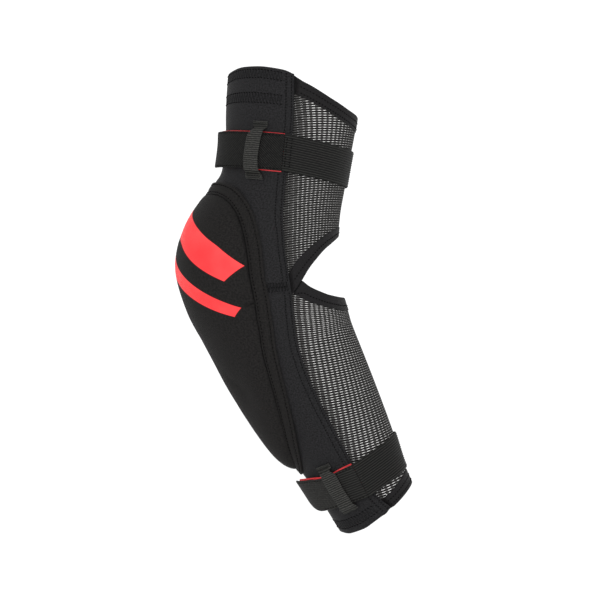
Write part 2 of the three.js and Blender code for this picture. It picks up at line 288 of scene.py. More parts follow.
def dress(name, shape, finish, stands_for=(), wrap=None):
    """Make a piece from its points, quads and cloth map, hang it on the root body, and hide the parts it
    stands for.

    The quads are turned round if the volume that they close is negative. wrap is the length at which the
    cloth map's second coordinate starts again, for a ring.
    """
    points, quads, cloth = shape
    a, b, c, d = (points[quads[:, k]] for k in range(4))
    if np.einsum("ij,ij->", a, np.cross(b, c) + np.cross(c, d)) < 0:
        quads = quads[:, ::-1]
    mesh = bpy.data.meshes.new(name)
    mesh.vertices.add(len(points))
    mesh.vertices.foreach_set("co", (points * MM).astype(np.float32).ravel())
    mesh.loops.add(quads.size)
    mesh.loops.foreach_set("vertex_index", quads.astype(np.int32).ravel())
    mesh.polygons.add(len(quads))
    mesh.polygons.foreach_set("loop_start", np.arange(0, quads.size, 4, dtype=np.int32))
    mesh.polygons.foreach_set("use_smooth", np.ones(len(quads), bool))
    corners = cloth[quads]
    if wrap:
        fresh = corners[..., 1] < corners[..., 1].max(1, keepdims=True) - wrap / 2
        corners[..., 1] += wrap * fresh
    layer = mesh.uv_layers.new(name="cloth")
    layer.uv.foreach_set("vector", corners.astype(np.float32).ravel())
    mesh.update(calc_edges=True)
    mesh.set_sharp_from_angle(angle=SHARP_ANGLE)
    mesh.materials.append(finish)
    piece = bpy.data.objects.new(name, mesh)
    bpy.context.scene.collection.objects.link(piece)
    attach(piece, "root")
    if stands_for:
        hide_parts(*stands_for)
    print(f"{name}: {2 * len(quads)} triangles, face area {surface_area(shape):.4f} m2")
    return piece


def second_finish(piece, finish, faces):
    """Give a piece's faces another finish than the first where faces is true."""
    piece.data.materials.append(finish)
    piece.data.polygons.foreach_set("material_index", faces.astype(np.int32))


# %% [markdown]
# ## Thread
#
# A seam is told by its thread. Each stitch is a short capsule whose ends sink into the cloth, a few dozen
# faces, so that thousands of them stay light. A bump texture would do at a distance, but it can't cast the
# small shadows that make a row of stitches read as sewn. The thread's finish is also far darker than the
# black cloth: its own black, with painted shade of the stitch holes.


# %% Stitches
STITCH_PLACES = np.array([0.0, 0.22, 0.78, 1.0])
STITCH_SWELL = np.array([0.45, 1.0, 1.0, 0.45])
STITCH_RISE = np.array([-0.35, 0.3, 0.3, -0.35])
STITCH_SIDES = 6


def unit(vectors):
    """Vectors scaled to length 1."""
    return vectors / np.linalg.norm(vectors, axis=-1, keepdims=True)


def stitches(start, end, out, thickness):
    """Capsules from each start to each end: six-sided rings at four places, low at the ends and high between.

    A ring's points are its centre plus the radius times cos(t) to the side and sin(t) upwards.
    """
    count = len(start)
    along = unit(end - start)
    side = unit(np.cross(along, out))
    up = np.cross(side, along)
    turn = np.arange(STITCH_SIDES) * 2 * np.pi / STITCH_SIDES
    centre = start[:, None] + STITCH_PLACES[:, None] * (end - start)[:, None]
    centre = centre + (STITCH_RISE * thickness)[:, None] * up[:, None]
    circle = np.cos(turn)[:, None] * side[:, None] + np.sin(turn)[:, None] * up[:, None]
    radius = (STITCH_SWELL * thickness / 2)[:, None, None]
    points = centre[:, :, None] + radius * circle[:, None]
    rings = len(STITCH_PLACES)
    index = np.arange(rings * STITCH_SIDES).reshape(rings, STITCH_SIDES)
    closed = np.concatenate([index, index[:, :1]], 1)
    first, last = index[0], index[-1, ::-1]
    caps = np.stack([first[[3, 2, 1, 0]], first[[5, 4, 3, 0]], last[[3, 2, 1, 0]], last[[5, 4, 3, 0]]])
    one = np.concatenate([patch(closed), caps])
    quads = (one[None] + (np.arange(count) * index.size)[:, None, None]).reshape(-1, 4)
    length = np.linalg.norm(end - start, axis=1)
    cloth = np.stack(np.broadcast_arrays(
        (turn * thickness / 2)[None, None], (STITCH_PLACES * length[:, None])[:, :, None]
    ), -1)
    return points.reshape(-1, 3), quads, cloth.reshape(-1, 2)


def along_path(station, angle, face, distance):
    """Points and outward normals at distances along a path on the arm. face(station, angle) is its lift."""
    run_points = skin(station, angle, face(station, angle))
    steps = np.linalg.norm(np.diff(run_points, axis=0), axis=1)
    run = np.append(0, np.cumsum(steps))
    here = np.interp(distance, run, station)
    turned = np.interp(distance, run, angle)
    lift = face(here, turned)
    points = skin(here, turned, lift)
    return points, unit(skin(here, turned, lift + 1) - points), run[-1]


def stitch_row(station, angle, face, pitch, length, thickness):
    """Stitches end to end along a path, one for each pitch."""
    total = along_path(station, angle, face, 0.0)[2]
    starts = np.arange(pitch / 2, total - length, pitch)
    start, out, _ = along_path(station, angle, face, starts)
    end, _, _ = along_path(station, angle, face, starts + length)
    return stitches(start, end, out, thickness)


def zigzag(first, second, face, pitch, thickness):
    """Threads that cross between two paths and back, as an overlock's do. Each path is (station, angle)."""
    total = min(along_path(*path, face, 0.0)[2] for path in (first, second))
    places = np.arange(pitch / 2, total - pitch, pitch)
    near, out, _ = along_path(*first, face, places)
    far, _, _ = along_path(*second, face, places + pitch / 2)
    again, _, _ = along_path(*first, face, places + pitch)
    return joined([stitches(near, far, out, thickness), stitches(far, again, out, thickness)])


# %% [markdown]
# ## Shared patterns
#
# Four patterns make up every finish, so each is a node group: dye that drifts a little lighter and darker,
# the V-shaped loops of a knit, parallel ribs at any slant, and a tapered slanting bar for the print. They
# read the cloth map in millimetres and put out only colours, masks and heights. The shader itself stays in
# each material, where its plain numbers are set on its own sockets.


# %% Node helpers
def feed(tree, socket, value):
    """Link a socket to another one, or set its number or colour."""
    if isinstance(value, bpy.types.NodeSocket):
        tree.links.new(value, socket)
    else:
        socket.default_value = value


def math_node(tree, operation, *values):
    """A Math node's output, for sockets or numbers as its values."""
    node = tree.nodes.new("ShaderNodeMath")
    node.operation = operation
    for socket, value in zip(node.inputs, values):
        feed(tree, socket, value)
    return node.outputs[0]


def ramp(tree, value, low, high, to_low=0.0, to_high=1.0):
    """A Map Range node's output: a smooth S from to_low at low to to_high at high."""
    node = tree.nodes.new("ShaderNodeMapRange")
    node.interpolation_type = "SMOOTHSTEP"
    names = ("Value", "From Min", "From Max", "To Min", "To Max")
    for name, number in zip(names, (value, low, high, to_low, to_high)):
        feed(tree, node.inputs[name], number)
    return node.outputs["Result"]


def mix_colour(tree, share, first, second, blend="MIX"):
    """A Mix node's colour output, number 2. Its inputs 6 and 7 are the two colours."""
    node = tree.nodes.new("ShaderNodeMix")
    node.data_type = "RGBA"
    node.blend_type = blend
    feed(tree, node.inputs[0], share)
    feed(tree, node.inputs[6], first)
    feed(tree, node.inputs[7], second)
    return node.outputs[2]


def noise(tree, vector, scale, detail=3.0):
    """A flat Noise Texture's value."""
    node = tree.nodes.new("ShaderNodeTexNoise")
    node.noise_dimensions = "2D"
    feed(tree, node.inputs["Vector"], vector)
    feed(tree, node.inputs["Scale"], scale)
    node.inputs["Detail"].default_value = detail
    return node.outputs[0]


def split(tree, vector):
    """The two flat coordinates of a vector."""
    node = tree.nodes.new("ShaderNodeSeparateXYZ")
    feed(tree, node.inputs[0], vector)
    return node.outputs["X"], node.outputs["Y"]


def new_group(name, inputs, outputs):
    """An empty node group with named sockets, and its input and output nodes. Colours are tuples."""
    tree = bpy.data.node_groups.new(name, "ShaderNodeTree")
    tree.interface.new_socket("Cloth", in_out="INPUT", socket_type="NodeSocketVector")
    for label, default in inputs.items():
        kind = "NodeSocketColor" if isinstance(default, tuple) else "NodeSocketFloat"
        tree.interface.new_socket(label, in_out="INPUT", socket_type=kind).default_value = default
    for label, kind in outputs.items():
        tree.interface.new_socket(label, in_out="OUTPUT", socket_type=kind)
    return tree, tree.nodes.new("NodeGroupInput").outputs, tree.nodes.new("NodeGroupOutput").inputs


# %% Drifting dye
DRIFT_DETAIL = 5.0
DRIFT_SPAN = (0.3, 0.7)


def dye_drift_group():
    """Two dyes mixed by soft noise, about one patch across, and the noise itself."""
    tree, given, made = new_group(
        "dye_drift",
        {"Patch": 20.0, "Dark": (0.01, 0.01, 0.01, 1.0), "Light": (0.02, 0.02, 0.02, 1.0)},
        {"Colour": "NodeSocketColor", "Drift": "NodeSocketFloat"},
    )
    value = noise(tree, given["Cloth"], math_node(tree, "DIVIDE", 1.0, given["Patch"]), DRIFT_DETAIL)
    drift = ramp(tree, value, *DRIFT_SPAN)
    feed(tree, made["Drift"], drift)
    feed(tree, made["Colour"], mix_colour(tree, drift, given["Dark"], given["Light"]))
    return tree


# %% Knitted loops
def knit_loops_group():
    """Columns of V-shaped loops: rows bend down towards the middle of their column, and legs are round."""
    tree, given, made = new_group(
        "knit_loops", {"Wale": 0.6, "Course": 0.5}, {"Height": "NodeSocketFloat"}
    )
    across, along = split(tree, given["Cloth"])
    column = math_node(tree, "DIVIDE", across, given["Wale"])
    offset = math_node(tree, "SUBTRACT", math_node(tree, "FRACT", column), 0.5)
    from_middle = math_node(tree, "ABSOLUTE", offset)
    row = math_node(tree, "ADD", math_node(tree, "DIVIDE", along, given["Course"]), from_middle)
    loop = math_node(tree, "SINE", math_node(tree, "MULTIPLY", math_node(tree, "FRACT", row), math.pi))
    leg = math_node(tree, "SINE", math_node(tree, "MULTIPLY", from_middle, 2 * math.pi))
    feed(tree, made["Height"], math_node(tree, "MULTIPLY", loop, leg))
    return tree


# %% Slanted ribs
WANDER_SCALE = 0.4


def slanted_ribs_group():
    """Parallel round ribs, a pitch apart and turned by an angle, that wander a little."""
    tree, given, made = new_group(
        "slanted_ribs", {"Pitch": 0.8, "Turn": 0.0, "Wander": 0.1}, {"Height": "NodeSocketFloat"}
    )
    across, along = split(tree, given["Cloth"])
    first = math_node(tree, "MULTIPLY", across, math_node(tree, "COSINE", given["Turn"]))
    second = math_node(tree, "MULTIPLY", along, math_node(tree, "SINE", given["Turn"]))
    count = math_node(tree, "DIVIDE", math_node(tree, "ADD", first, second), given["Pitch"])
    wander = math_node(tree, "MULTIPLY", noise(tree, given["Cloth"], WANDER_SCALE), given["Wander"])
    phase = math_node(tree, "MULTIPLY", math_node(tree, "ADD", count, wander), 2 * math.pi)
    feed(tree, made["Height"], math_node(tree, "MULTIPLY_ADD", math_node(tree, "COSINE", phase), 0.5, 0.5))
    return tree


# %% Printed bars
PRINT_EDGE = 0.25


def slanted_bar_group():
    """A pair of slanting bars, mirrored about the middle of the cloth, where they meet as a chevron.

    A point is inside where its distance from the slanted centre line is under the half width, which narrows
    by Taper on the way to Reach, and where it is nearer the middle than an end cut along the Cut slope.
    """
    tree, given, made = new_group(
        "slanted_bar",
        {"Middle": 0.0, "Half Width": 6.0, "Slope": 0.5, "Taper": 0.3, "Reach": 50.0, "Cut": 1.0},
        {"Mask": "NodeSocketFloat"},
    )
    across, along = split(tree, given["Cloth"])
    aside = math_node(tree, "ABSOLUTE", across)
    line = math_node(tree, "MULTIPLY_ADD", aside, given["Slope"], given["Middle"])
    off_line = math_node(tree, "SUBTRACT", along, line)
    shrink = math_node(tree, "MULTIPLY", given["Taper"], math_node(tree, "DIVIDE", aside, given["Reach"]))
    half = math_node(tree, "MULTIPLY", given["Half Width"], math_node(tree, "SUBTRACT", 1.0, shrink))
    depth = math_node(tree, "SUBTRACT", half, math_node(tree, "ABSOLUTE", off_line))
    end = math_node(tree, "MULTIPLY_ADD", off_line, given["Cut"], given["Reach"])
    inside = math_node(tree, "MINIMUM", depth, math_node(tree, "SUBTRACT", end, aside))
    feed(tree, made["Mask"], ramp(tree, inside, -PRINT_EDGE, PRINT_EDGE))
    return tree


GROUPS = {
    "dye_drift": dye_drift_group(),
    "knit_loops": knit_loops_group(),
    "slanted_ribs": slanted_ribs_group(),
    "slanted_bar": slanted_bar_group(),
}
print("patterns:", ", ".join(GROUPS))

# %% [markdown]
# ## Finishes
#
# Nearly everything here is black, and the eye still tells the pieces apart: neoprene is a shade blue with a
# soft bloom, the pad's knit is warmer and flatter, the elastic is ribbed, the webbing is coarse and catches
# more light. So one recipe makes all the cloths, from two dyes, a weave and a few shader numbers. The weave
# darkens the colour in its hollows, which is painted shade. Sheen gives the bloom that a plain dark surface
# lacks at its edges.


# %% Cloth recipe
SHEEN_ROUGHNESS = 0.4


def use_group(tree, name, cloth, **values):
    """A group node in a material, fed with the cloth map and its own values. Underscores stand for spaces."""
    node = tree.nodes.new("ShaderNodeGroup")
    node.node_tree = GROUPS[name]
    feed(tree, node.inputs["Cloth"], cloth)
    for label, value in values.items():
        feed(tree, node.inputs[label.replace("_", " ")], value)
    return node.outputs


def opaque(colour):
    """A colour with its alpha, from linear red, green and blue."""
    return (*colour, 1.0)


def cloth_finish(name, dark, light, weave, bump, rough, specular, sheen, spot, shade):
    """A dyed cloth: drifting dye with painted shade in the weave's hollows; the weave is also a bump, height
    in mm.

    weave is a pattern's name and its values. rough is the lowest and the highest roughness. spot is about
    how wide a patch of dye is, in mm, and shade is how much darker the weave's hollows are painted.
    """
    material = bpy.data.materials.new(name)
    material.use_nodes = True
    tree = material.node_tree
    shader = tree.nodes["Principled BSDF"]
    shader.inputs["Specular IOR Level"].default_value = specular
    shader.inputs["Sheen Weight"].default_value = sheen
    shader.inputs["Sheen Roughness"].default_value = SHEEN_ROUGHNESS
    cloth_map = tree.nodes.new("ShaderNodeUVMap")
    cloth_map.uv_map = "cloth"
    cloth = cloth_map.outputs["UV"]
    pattern, values = weave
    height = use_group(tree, pattern, cloth, **values)["Height"]
    dye = use_group(tree, "dye_drift", cloth, Patch=spot, Dark=opaque(dark), Light=opaque(light))
    # Painted shade: the weave's hollows are darkened in the base colour, so its crests read lighter.
    shadow = ramp(tree, height, 0.0, 1.0, 1.0 - shade, 1.0)
    colour = mix_colour(tree, 1.0, dye["Colour"], shadow, "MULTIPLY")
    feed(tree, shader.inputs["Base Color"], colour)
    feed(tree, shader.inputs["Roughness"], ramp(tree, dye["Drift"], 0.0, 1.0, *rough))
    relief = tree.nodes.new("ShaderNodeBump")
    relief.inputs["Strength"].default_value = 1.0
    relief.inputs["Distance"].default_value = bump * MM
    feed(tree, relief.inputs["Height"], height)
    feed(tree, shader.inputs["Normal"], relief.outputs["Normal"])
    return material


# %% Table of finishes
ELASTIC_RIB = 1.6
WEBBING_RIB = 1.45
NET_PITCH_ALONG = 1.62
FINE_KNIT = ("knit_loops", {"Wale": 0.62, "Course": 0.5})


def ribs(pitch, turn, wander):
    """The slanted ribs' pattern with its values."""
    return "slanted_ribs", {"Pitch": pitch, "Turn": turn, "Wander": wander}


# Each row's shade darkens its weave's hollows in the colour: painted shade, not the dye's own tone.
FINISHES = {
    "neoprene": {
        "dark": (0.0032, 0.0031, 0.0035), "light": (0.0170, 0.0166, 0.0180), "weave": FINE_KNIT,
        "bump": 0.05, "rough": (0.65, 0.78), "specular": 0.12, "sheen": 0.02, "spot": 1.05, "shade": 0.35,
    },
    "pad_knit": {
        "dark": (0.0050, 0.0046, 0.0045), "light": (0.0156, 0.0145, 0.0140), "weave": FINE_KNIT,
        "bump": 0.06, "rough": (0.75, 0.9), "specular": 0.1, "sheen": 0.02, "spot": 1.1, "shade": 0.35,
    },
    # The net yarn's shade darkens it between the rows of slots: painted shade.
    "net_yarn": {
        "dark": (0.042, 0.041, 0.040), "light": (0.070, 0.0685, 0.0665),
        "weave": ribs(NET_PITCH_ALONG, math.pi / 2, 0.0),
        "bump": 0.1, "rough": (0.6, 0.75), "specular": 0.04, "sheen": 0.0, "spot": 3.0, "shade": 0.95,
    },
    "net_core": {
        "dark": (0.84, 0.83, 0.82), "light": (0.90, 0.89, 0.88), "weave": ribs(0.8, 0.3, 0.3),
        "bump": 0.05, "rough": (0.7, 0.9), "specular": 0.3, "sheen": 0.0, "spot": 8.0, "shade": 0.1,
    },
    "tape_cloth": {
        "dark": (0.0040, 0.0037, 0.0040), "light": (0.0118, 0.0109, 0.0116), "weave": FINE_KNIT,
        "bump": 0.05, "rough": (0.65, 0.8), "specular": 0.12, "sheen": 0.02, "spot": 0.8, "shade": 0.35,
    },
    "elastic_weave": {
        "dark": (0.0105, 0.0105, 0.0097), "light": (0.0185, 0.0185, 0.0169),
        "weave": ribs(ELASTIC_RIB, 0.0, 0.3),
        "bump": 0.2, "rough": (0.65, 0.8), "specular": 0.12, "sheen": 0.02, "spot": 1.5, "shade": 0.9,
    },
    "tab_twill": {
        "dark": (0.0064, 0.0064, 0.0060), "light": (0.0160, 0.0160, 0.0149), "weave": ribs(1.15, 0.75, 0.1),
        "bump": 0.2, "rough": (0.7, 0.82), "specular": 0.1, "sheen": 0.02, "spot": 2.0, "shade": 0.95,
    },
    # The lower tab's knit is dyed lighter than the twill, partly its own tone and partly painted light on the
    # lower tab.
    "tab_knit_painted_light": {
        "dark": (0.0115, 0.0112, 0.0106), "light": (0.0245, 0.0240, 0.0227), "weave": ribs(1.5, 0.2, 0.5),
        "bump": 0.1, "rough": (0.7, 0.82), "specular": 0.1, "sheen": 0.02, "spot": 1.2, "shade": 0.3,
    },
    "webbing_weave": {
        "dark": (0.0200, 0.0200, 0.0182), "light": (0.0425, 0.0425, 0.0385),
        "weave": ribs(WEBBING_RIB, math.pi / 2, 0.6),
        "bump": 0.2, "rough": (0.5, 0.65), "specular": 0.15, "sheen": 0.02, "spot": 1.0, "shade": 0.9,
    },
    # Thread far darker than the black cloth: its own black plus painted shade of the stitch holes.
    "black_thread_painted_shade": {
        "dark": (0.0008, 0.0008, 0.0008), "light": (0.0018, 0.0018, 0.0018), "weave": ribs(0.3, 0.8, 0.1),
        "bump": 0.05, "rough": (0.8, 0.9), "specular": 0.03, "sheen": 0.0, "spot": 3.0, "shade": 0.35,
    },
    "red_hook": {
        "dark": (0.50, 0.014, 0.020), "light": (0.68, 0.024, 0.030), "weave": ribs(1.1, 0.0, 0.1),
        "bump": 0.2, "rough": (0.5, 0.65), "specular": 0.4, "sheen": 0.1, "spot": 5.0, "shade": 0.35,
    },
}
finishes = {name: cloth_finish(name, **row) for name, row in FINISHES.items()}
print("finishes:", ", ".join(finishes))

# %% [markdown]
# ## The print
#
# The pad carries a bold red print. Here it is a plain sports motif, a broad chevron over a slim one. It is
# drawn by the bar pattern in the cloth map, so it wraps with the dome and stays crisp at any distance,
# where an image would blur. Print ink is smoother than the knit, and lets its loops through only faintly.


# %% Print on the pad's knit
INK_DARK = (0.78, 0.030, 0.034)
INK_LIGHT = (0.95, 0.050, 0.052)
INK_PATCH = 25.0
INK_ROUGHNESS = 0.42
PRINTED_BARS = [
    {"Middle": 52.0, "Half_Width": 10.0, "Slope": -0.55, "Taper": 0.25, "Reach": 56.0, "Cut": 0.8},
    {"Middle": 27.0, "Half_Width": 5.0, "Slope": -0.55, "Taper": 0.25, "Reach": 50.0, "Cut": 0.8},
]


def add_print(material):
    """Lay ink over a cloth: where a bar's mask is 1, the ink's colour and roughness replace the cloth's."""
    tree = material.node_tree
    shader = tree.nodes["Principled BSDF"]
    cloth = tree.nodes["UV Map"].outputs["UV"]
    mask = 0.0
    for bar in PRINTED_BARS:
        mask = math_node(tree, "MAXIMUM", use_group(tree, "slanted_bar", cloth, **bar)["Mask"], mask)
    dyes = {"Dark": opaque(INK_DARK), "Light": opaque(INK_LIGHT)}
    ink = use_group(tree, "dye_drift", cloth, Patch=INK_PATCH, **dyes)["Colour"]
    colour = shader.inputs["Base Color"]
    roughness = shader.inputs["Roughness"]
    feed(tree, colour, mix_colour(tree, mask, colour.links[0].from_socket, ink))
    feed(tree, roughness, ramp(tree, mask, 0.0, 1.0, roughness.links[0].from_socket, INK_ROUGHNESS))


printed_knit = finishes["pad_knit"].copy()
printed_knit.name = "printed_knit"
add_print(printed_knit)
print("print:", len(PRINTED_BARS), "chevrons on", printed_knit.name)

# %% [markdown]
# ## The pad's outline
#
# The foam pad is sewn on along a border strip, so both need one outline: a closed curve through listed
# places on the arm, mirrored about the middle. It is drawn in the flat chart of stations and arc lengths,
# where moving it inwards by the border's width is simple. Bezier handles would work too, but the
# centripetal curve needs only the places themselves.


# %% Closed curve
OUTLINE_STATIONS = [79.5, 79, 74.5, 66.5, 57, 43, 27, 6, -12, -37, -62, -85, -105, -112, -114]
OUTLINE_ANGLES = [0, 33, 51.5, 64, 72, 78.5, 82.5, 84.5, 82.5, 73.5, 63.5, 50.5, 31.5, 18, 0]
BORDER_WIDTH = 9.0


def closed_curve(places, per_piece=60):
    """A closed curve through places: cubics whose knots are spaced by the square root of the distances."""
    before, here, after, beyond = (np.roll(places, k, 0) for k in (1, 0, -1, -2))
    steps = ((before, here), (here, after), (after, beyond))
    first, middle, last = (np.sqrt(np.linalg.norm(b - a, axis=1))[:, None] for a, b in steps)
    leave = middle * ((here - before) / first - (after - before) / (first + middle) + (after - here) / middle)
    arrive = middle * ((after - here) / middle - (beyond - here) / (middle + last) + (beyond - after) / last)
    t = np.linspace(0, 1, per_piece, endpoint=False)[:, None, None]
    s = 1 - t
    curve = here * (1 + 2 * t) * s**2 + leave * t * s**2 + after * t**2 * (3 - 2 * t) - arrive * t**2 * s
    return curve.transpose(1, 0, 2).reshape(-1, 2)


def mirrored_outline():
    """The outline in the chart, from the top down the strap flank and back up the far one."""
    station = np.array(OUTLINE_STATIONS, float)
    arc = np.array(OUTLINE_ANGLES) * degree_length(station)
    half = np.stack([station, arc], 1)
    return closed_curve(np.concatenate([half, half[-2:0:-1] * (1, -1)]))


outline_curve = mirrored_outline()
outline_closed = np.concatenate([outline_curve, outline_curve[:1]])
outline_run = np.append(0, np.cumsum(np.linalg.norm(np.diff(outline_closed, axis=0), axis=1)))
OUTLINE_LENGTH = outline_run[-1]
outline_heading = unit(np.roll(outline_curve, -1, 0) - np.roll(outline_curve, 1, 0))
outline_heading = np.concatenate([outline_heading, outline_heading[:1]])


def outline(turn, inset=0.0):
    """Station and angle at a share of the way round, moved in across the outline's heading."""
    run = np.mod(turn, 1) * OUTLINE_LENGTH
    station, arc, up, over = (
        np.interp(run, outline_run, values) for values in (*outline_closed.T, *outline_heading.T)
    )
    station = station - inset * over
    arc = arc + inset * up
    return station, arc / degree_length(station)


print("pad outline:", round(OUTLINE_LENGTH), "mm round")

# %% [markdown]
# ## The foam dome
#
# The dome is a block of foam under a stretched knit cover. A lofted form would be too even, so the cover is
# simulated: it starts a little low, is held along its sewn edge and is blown up by pressure. Of each
# point's move only the outward part is kept, capped and evened out with its neighbours, as foam would
# allow. A round grid would pinch at its pole, so a square grid is bent to the outline instead, its squares
# becoming rings.

# %% Dome over the outline
PAD_CENTRE = -12.0
PAD_SEAT = 0.8
PAD_FOOT = 1.0
PAD_WAY = [-1.0, 0.0, 0.75, 1.0]
PAD_BLUNT = [8.0, 5.0, 5.0, 3.2]
PAD_ROUND = [0.6, 0.6, 0.6, 0.75]
PAD_SQUARES = 150
EDGE_CROWDING = 1.25
PAD_OVERHANG = 4.0
OVERHANG_REACH = 0.07
TOP_RAISE = 2.8
TOP_RAISE_REACH = 28.0
TOP_RAISE_SPAN = (54, 68)
FOOT_RAISE = 1.5
pad_crest = smooth_column(
    [-114, -98, -87, -71, -57, -46, -26, -12, 5, 18, 26, 38, 47, 56, 65, 81],
    [13.8, 12.6, 10.9, 9.2, 7.9, 7.1, 6.4, 7.4, 10.2, 11.2, 11.8, 12, 12.4, 12.5, 11.5, 10.5],
)
PAD_TOP, PAD_END = (float(outline(turn, BORDER_WIDTH)[0]) for turn in (0, 0.5))
print(f"dome from {PAD_END:.0f} to {PAD_TOP:.0f} mm along the arm")


def top_raise(station, angle):
    """Millimetres by which the pad's edge is built up, most at the middle of its top end."""
    arc = angle * degree_length(station)
    return TOP_RAISE * np.exp(-((arc / TOP_RAISE_REACH) ** 2)) * smoothstep(station, *TOP_RAISE_SPAN)


def square_to_rings(x, y):
    """Share of the way out and turn for a point of the square from -1 to 1: each square becomes a ring."""
    share = np.maximum(np.abs(x), np.abs(y))
    safe = np.where(share > 0, share, 1)
    endways = np.abs(x) >= np.abs(y)
    ratio = np.where(endways, y * np.sign(x), x * np.sign(y)) / safe
    base = np.where(endways, np.where(x > 0, 0, 4), np.where(y > 0, 2, 6))
    eighths = base + np.where(endways, ratio, -ratio)
    return 1 - (1 - share) ** EDGE_CROWDING, np.mod(eighths / 8, 1)


def dome(lower=0.0):
    """The cover's stations, angles, lifts and shares of the way out to its foot.

    A lift is the crest's height times (1 - share to a power) to another power. Both powers change with the
    way to the foot, from -1 at the lower end through 0 to 1 at the top. lower takes some of the height off
    the middle, so that the cover has room to swell.
    """
    even = np.linspace(-1, 1, PAD_SQUARES + 1)
    share, turn = square_to_rings(*np.meshgrid(even, even, indexing="ij"))
    overhang = PAD_OVERHANG * np.exp(-(((turn - 0.5) / OVERHANG_REACH) ** 2))
    foot_station, foot_angle = outline(turn, BORDER_WIDTH - overhang)
    station = lerp(PAD_CENTRE, foot_station, share)
    end = np.where(foot_station > PAD_CENTRE, PAD_TOP - PAD_CENTRE, PAD_CENTRE - PAD_END)
    way = (foot_station - PAD_CENTRE) / end
    blunt, roundness = (smooth_column(PAD_WAY, powers)(way) for powers in (PAD_BLUNT, PAD_ROUND))
    swell = (1 - share**blunt) ** roundness
    foot = PAD_FOOT + FOOT_RAISE * top_raise(foot_station, foot_angle)
    return station, foot_angle * share, foot + (pad_crest(station) - foot - lower) * swell, share


# %% Blow up the cover
PAD_START_LOW = 1.5
PAD_SLACK = 0.02
PAD_PRESSURE = 60.0
PAD_CAP = 5.0
PAD_FRAMES = 20
PAD_EVENINGS = 20


def swollen(points, out, held):
    """The points of a square grid after a cloth simulation with pressure, held where held is true.

    The cloth is cut a little larger than the form, so that it can fill out. Foam fills the cover, so only the
    outward part of a move is kept, cut to the cap. Each point then takes its neighbours' mean a number of
    times, which evens out puckers that foam would not let form.
    """
    mesh = bpy.data.meshes.new("cover_sim")
    quads = patch(np.arange(len(points)).reshape(PAD_SQUARES + 1, -1))
    mesh.from_pydata((points * MM).tolist(), [], quads.tolist())
    cover = bpy.data.objects.new("cover_sim", mesh)
    bpy.context.scene.collection.objects.link(cover)
    cover.vertex_groups.new(name="sewn").add(np.flatnonzero(held).tolist(), 1.0, "REPLACE")
    settings = cover.modifiers.new("cloth", "CLOTH").settings
    settings.vertex_group_mass = "sewn"
    settings.quality = 6
    settings.mass = 0.3
    settings.tension_stiffness = 10
    settings.compression_stiffness = 10
    settings.shear_stiffness = 10
    settings.bending_stiffness = 0.5
    settings.shrink_min = -PAD_SLACK
    settings.use_pressure = True
    settings.uniform_pressure_force = PAD_PRESSURE
    settings.effector_weights.gravity = 0
    scene = bpy.context.scene
    for step in range(1, PAD_FRAMES + 1):
        scene.frame_set(step)
    result = cover.evaluated_get(bpy.context.evaluated_depsgraph_get()).data
    moved = np.empty(3 * len(points), np.float32)
    result.vertices.foreach_get("co", moved)
    scene.frame_set(1)
    bpy.data.objects.remove(cover)
    bpy.data.meshes.remove(mesh)
    rise = ((moved.reshape(-1, 3) / MM - points) * out).sum(1).reshape(PAD_SQUARES + 1, -1)
    print(f"cover rose {rise.mean():.2f} mm on average, {rise.max():.2f} mm at most, before the cap")
    rise = np.clip(rise, 0, PAD_CAP)
    for _ in range(PAD_EVENINGS):
        rise[1:-1, 1:-1] = (rise[:-2, 1:-1] + rise[2:, 1:-1] + rise[1:-1, :-2] + rise[1:-1, 2:]) / 4
    return points + out * rise.reshape(-1, 1)


# %% Pad
CREASES = [(6.6, 57.0, 1.2, -0.2), (2.6, 58.0, 1.8, 0.13), (-7.6, 59.0, 1.4, -0.35)]
CREASE_WIDTH = 1.1
CREASE_LENGTH = 6.0
BULGE_HEIGHT = 0.4
BULGE_PLACE = 2.6
BULGE_WIDTH = 1.8


def pad_creases(station, arc):
    """Small folds where the bend gathers the cover: bell-shaped dips, each with a low bulge above it.

    Each row has the fold's station, its distance round the arm, its depth and its slope. Both flanks have
    them. The bulge's place and width are in widths of a dip.
    """
    folds = 0.0
    for at, aside, depth, slope in CREASES:
        along = np.abs(arc) - aside
        across = (station - at - slope * along) / CREASE_WIDTH
        bulge = BULGE_HEIGHT * np.exp(-(((across - BULGE_PLACE) / BULGE_WIDTH) ** 2))
        bell = bulge - np.exp(-(across**2))
        folds = folds + depth * bell * np.exp(-((along / CREASE_LENGTH) ** 2))
    return folds


def pad_shape():
    """The cover over its flat seat: the simulated grid outside, and the same places at the seat inside."""
    station, angle, lift, share = dome()
    arc = angle * degree_length(station)
    top = skin(station, angle, lift)
    out = unit(skin(station, angle, lift + 1) - top)
    low = skin(station, angle, dome(PAD_START_LOW)[2])
    top = swollen(low.reshape(-1, 3), out.reshape(-1, 3), share.ravel() >= 1).reshape(low.shape)
    top = top + out * pad_creases(station, arc)[..., None]
    return wall(top, skin(station, angle, PAD_SEAT), np.stack([arc, station], -1))


elbow_pad = dress("foam_pad", pad_shape(), printed_knit, ["elbow_pad"])

# %% [markdown]
# ## The pad's border
#
# Round the dome runs a flat strip of the same knit, top-stitched near both edges. It is a profile carried
# round the outline: a rounded outer edge, a crease under each row of stitches, a low crown between them,
# and a lip that drops into the groove beside the dome. That groove is what draws the pad's dark inner line.

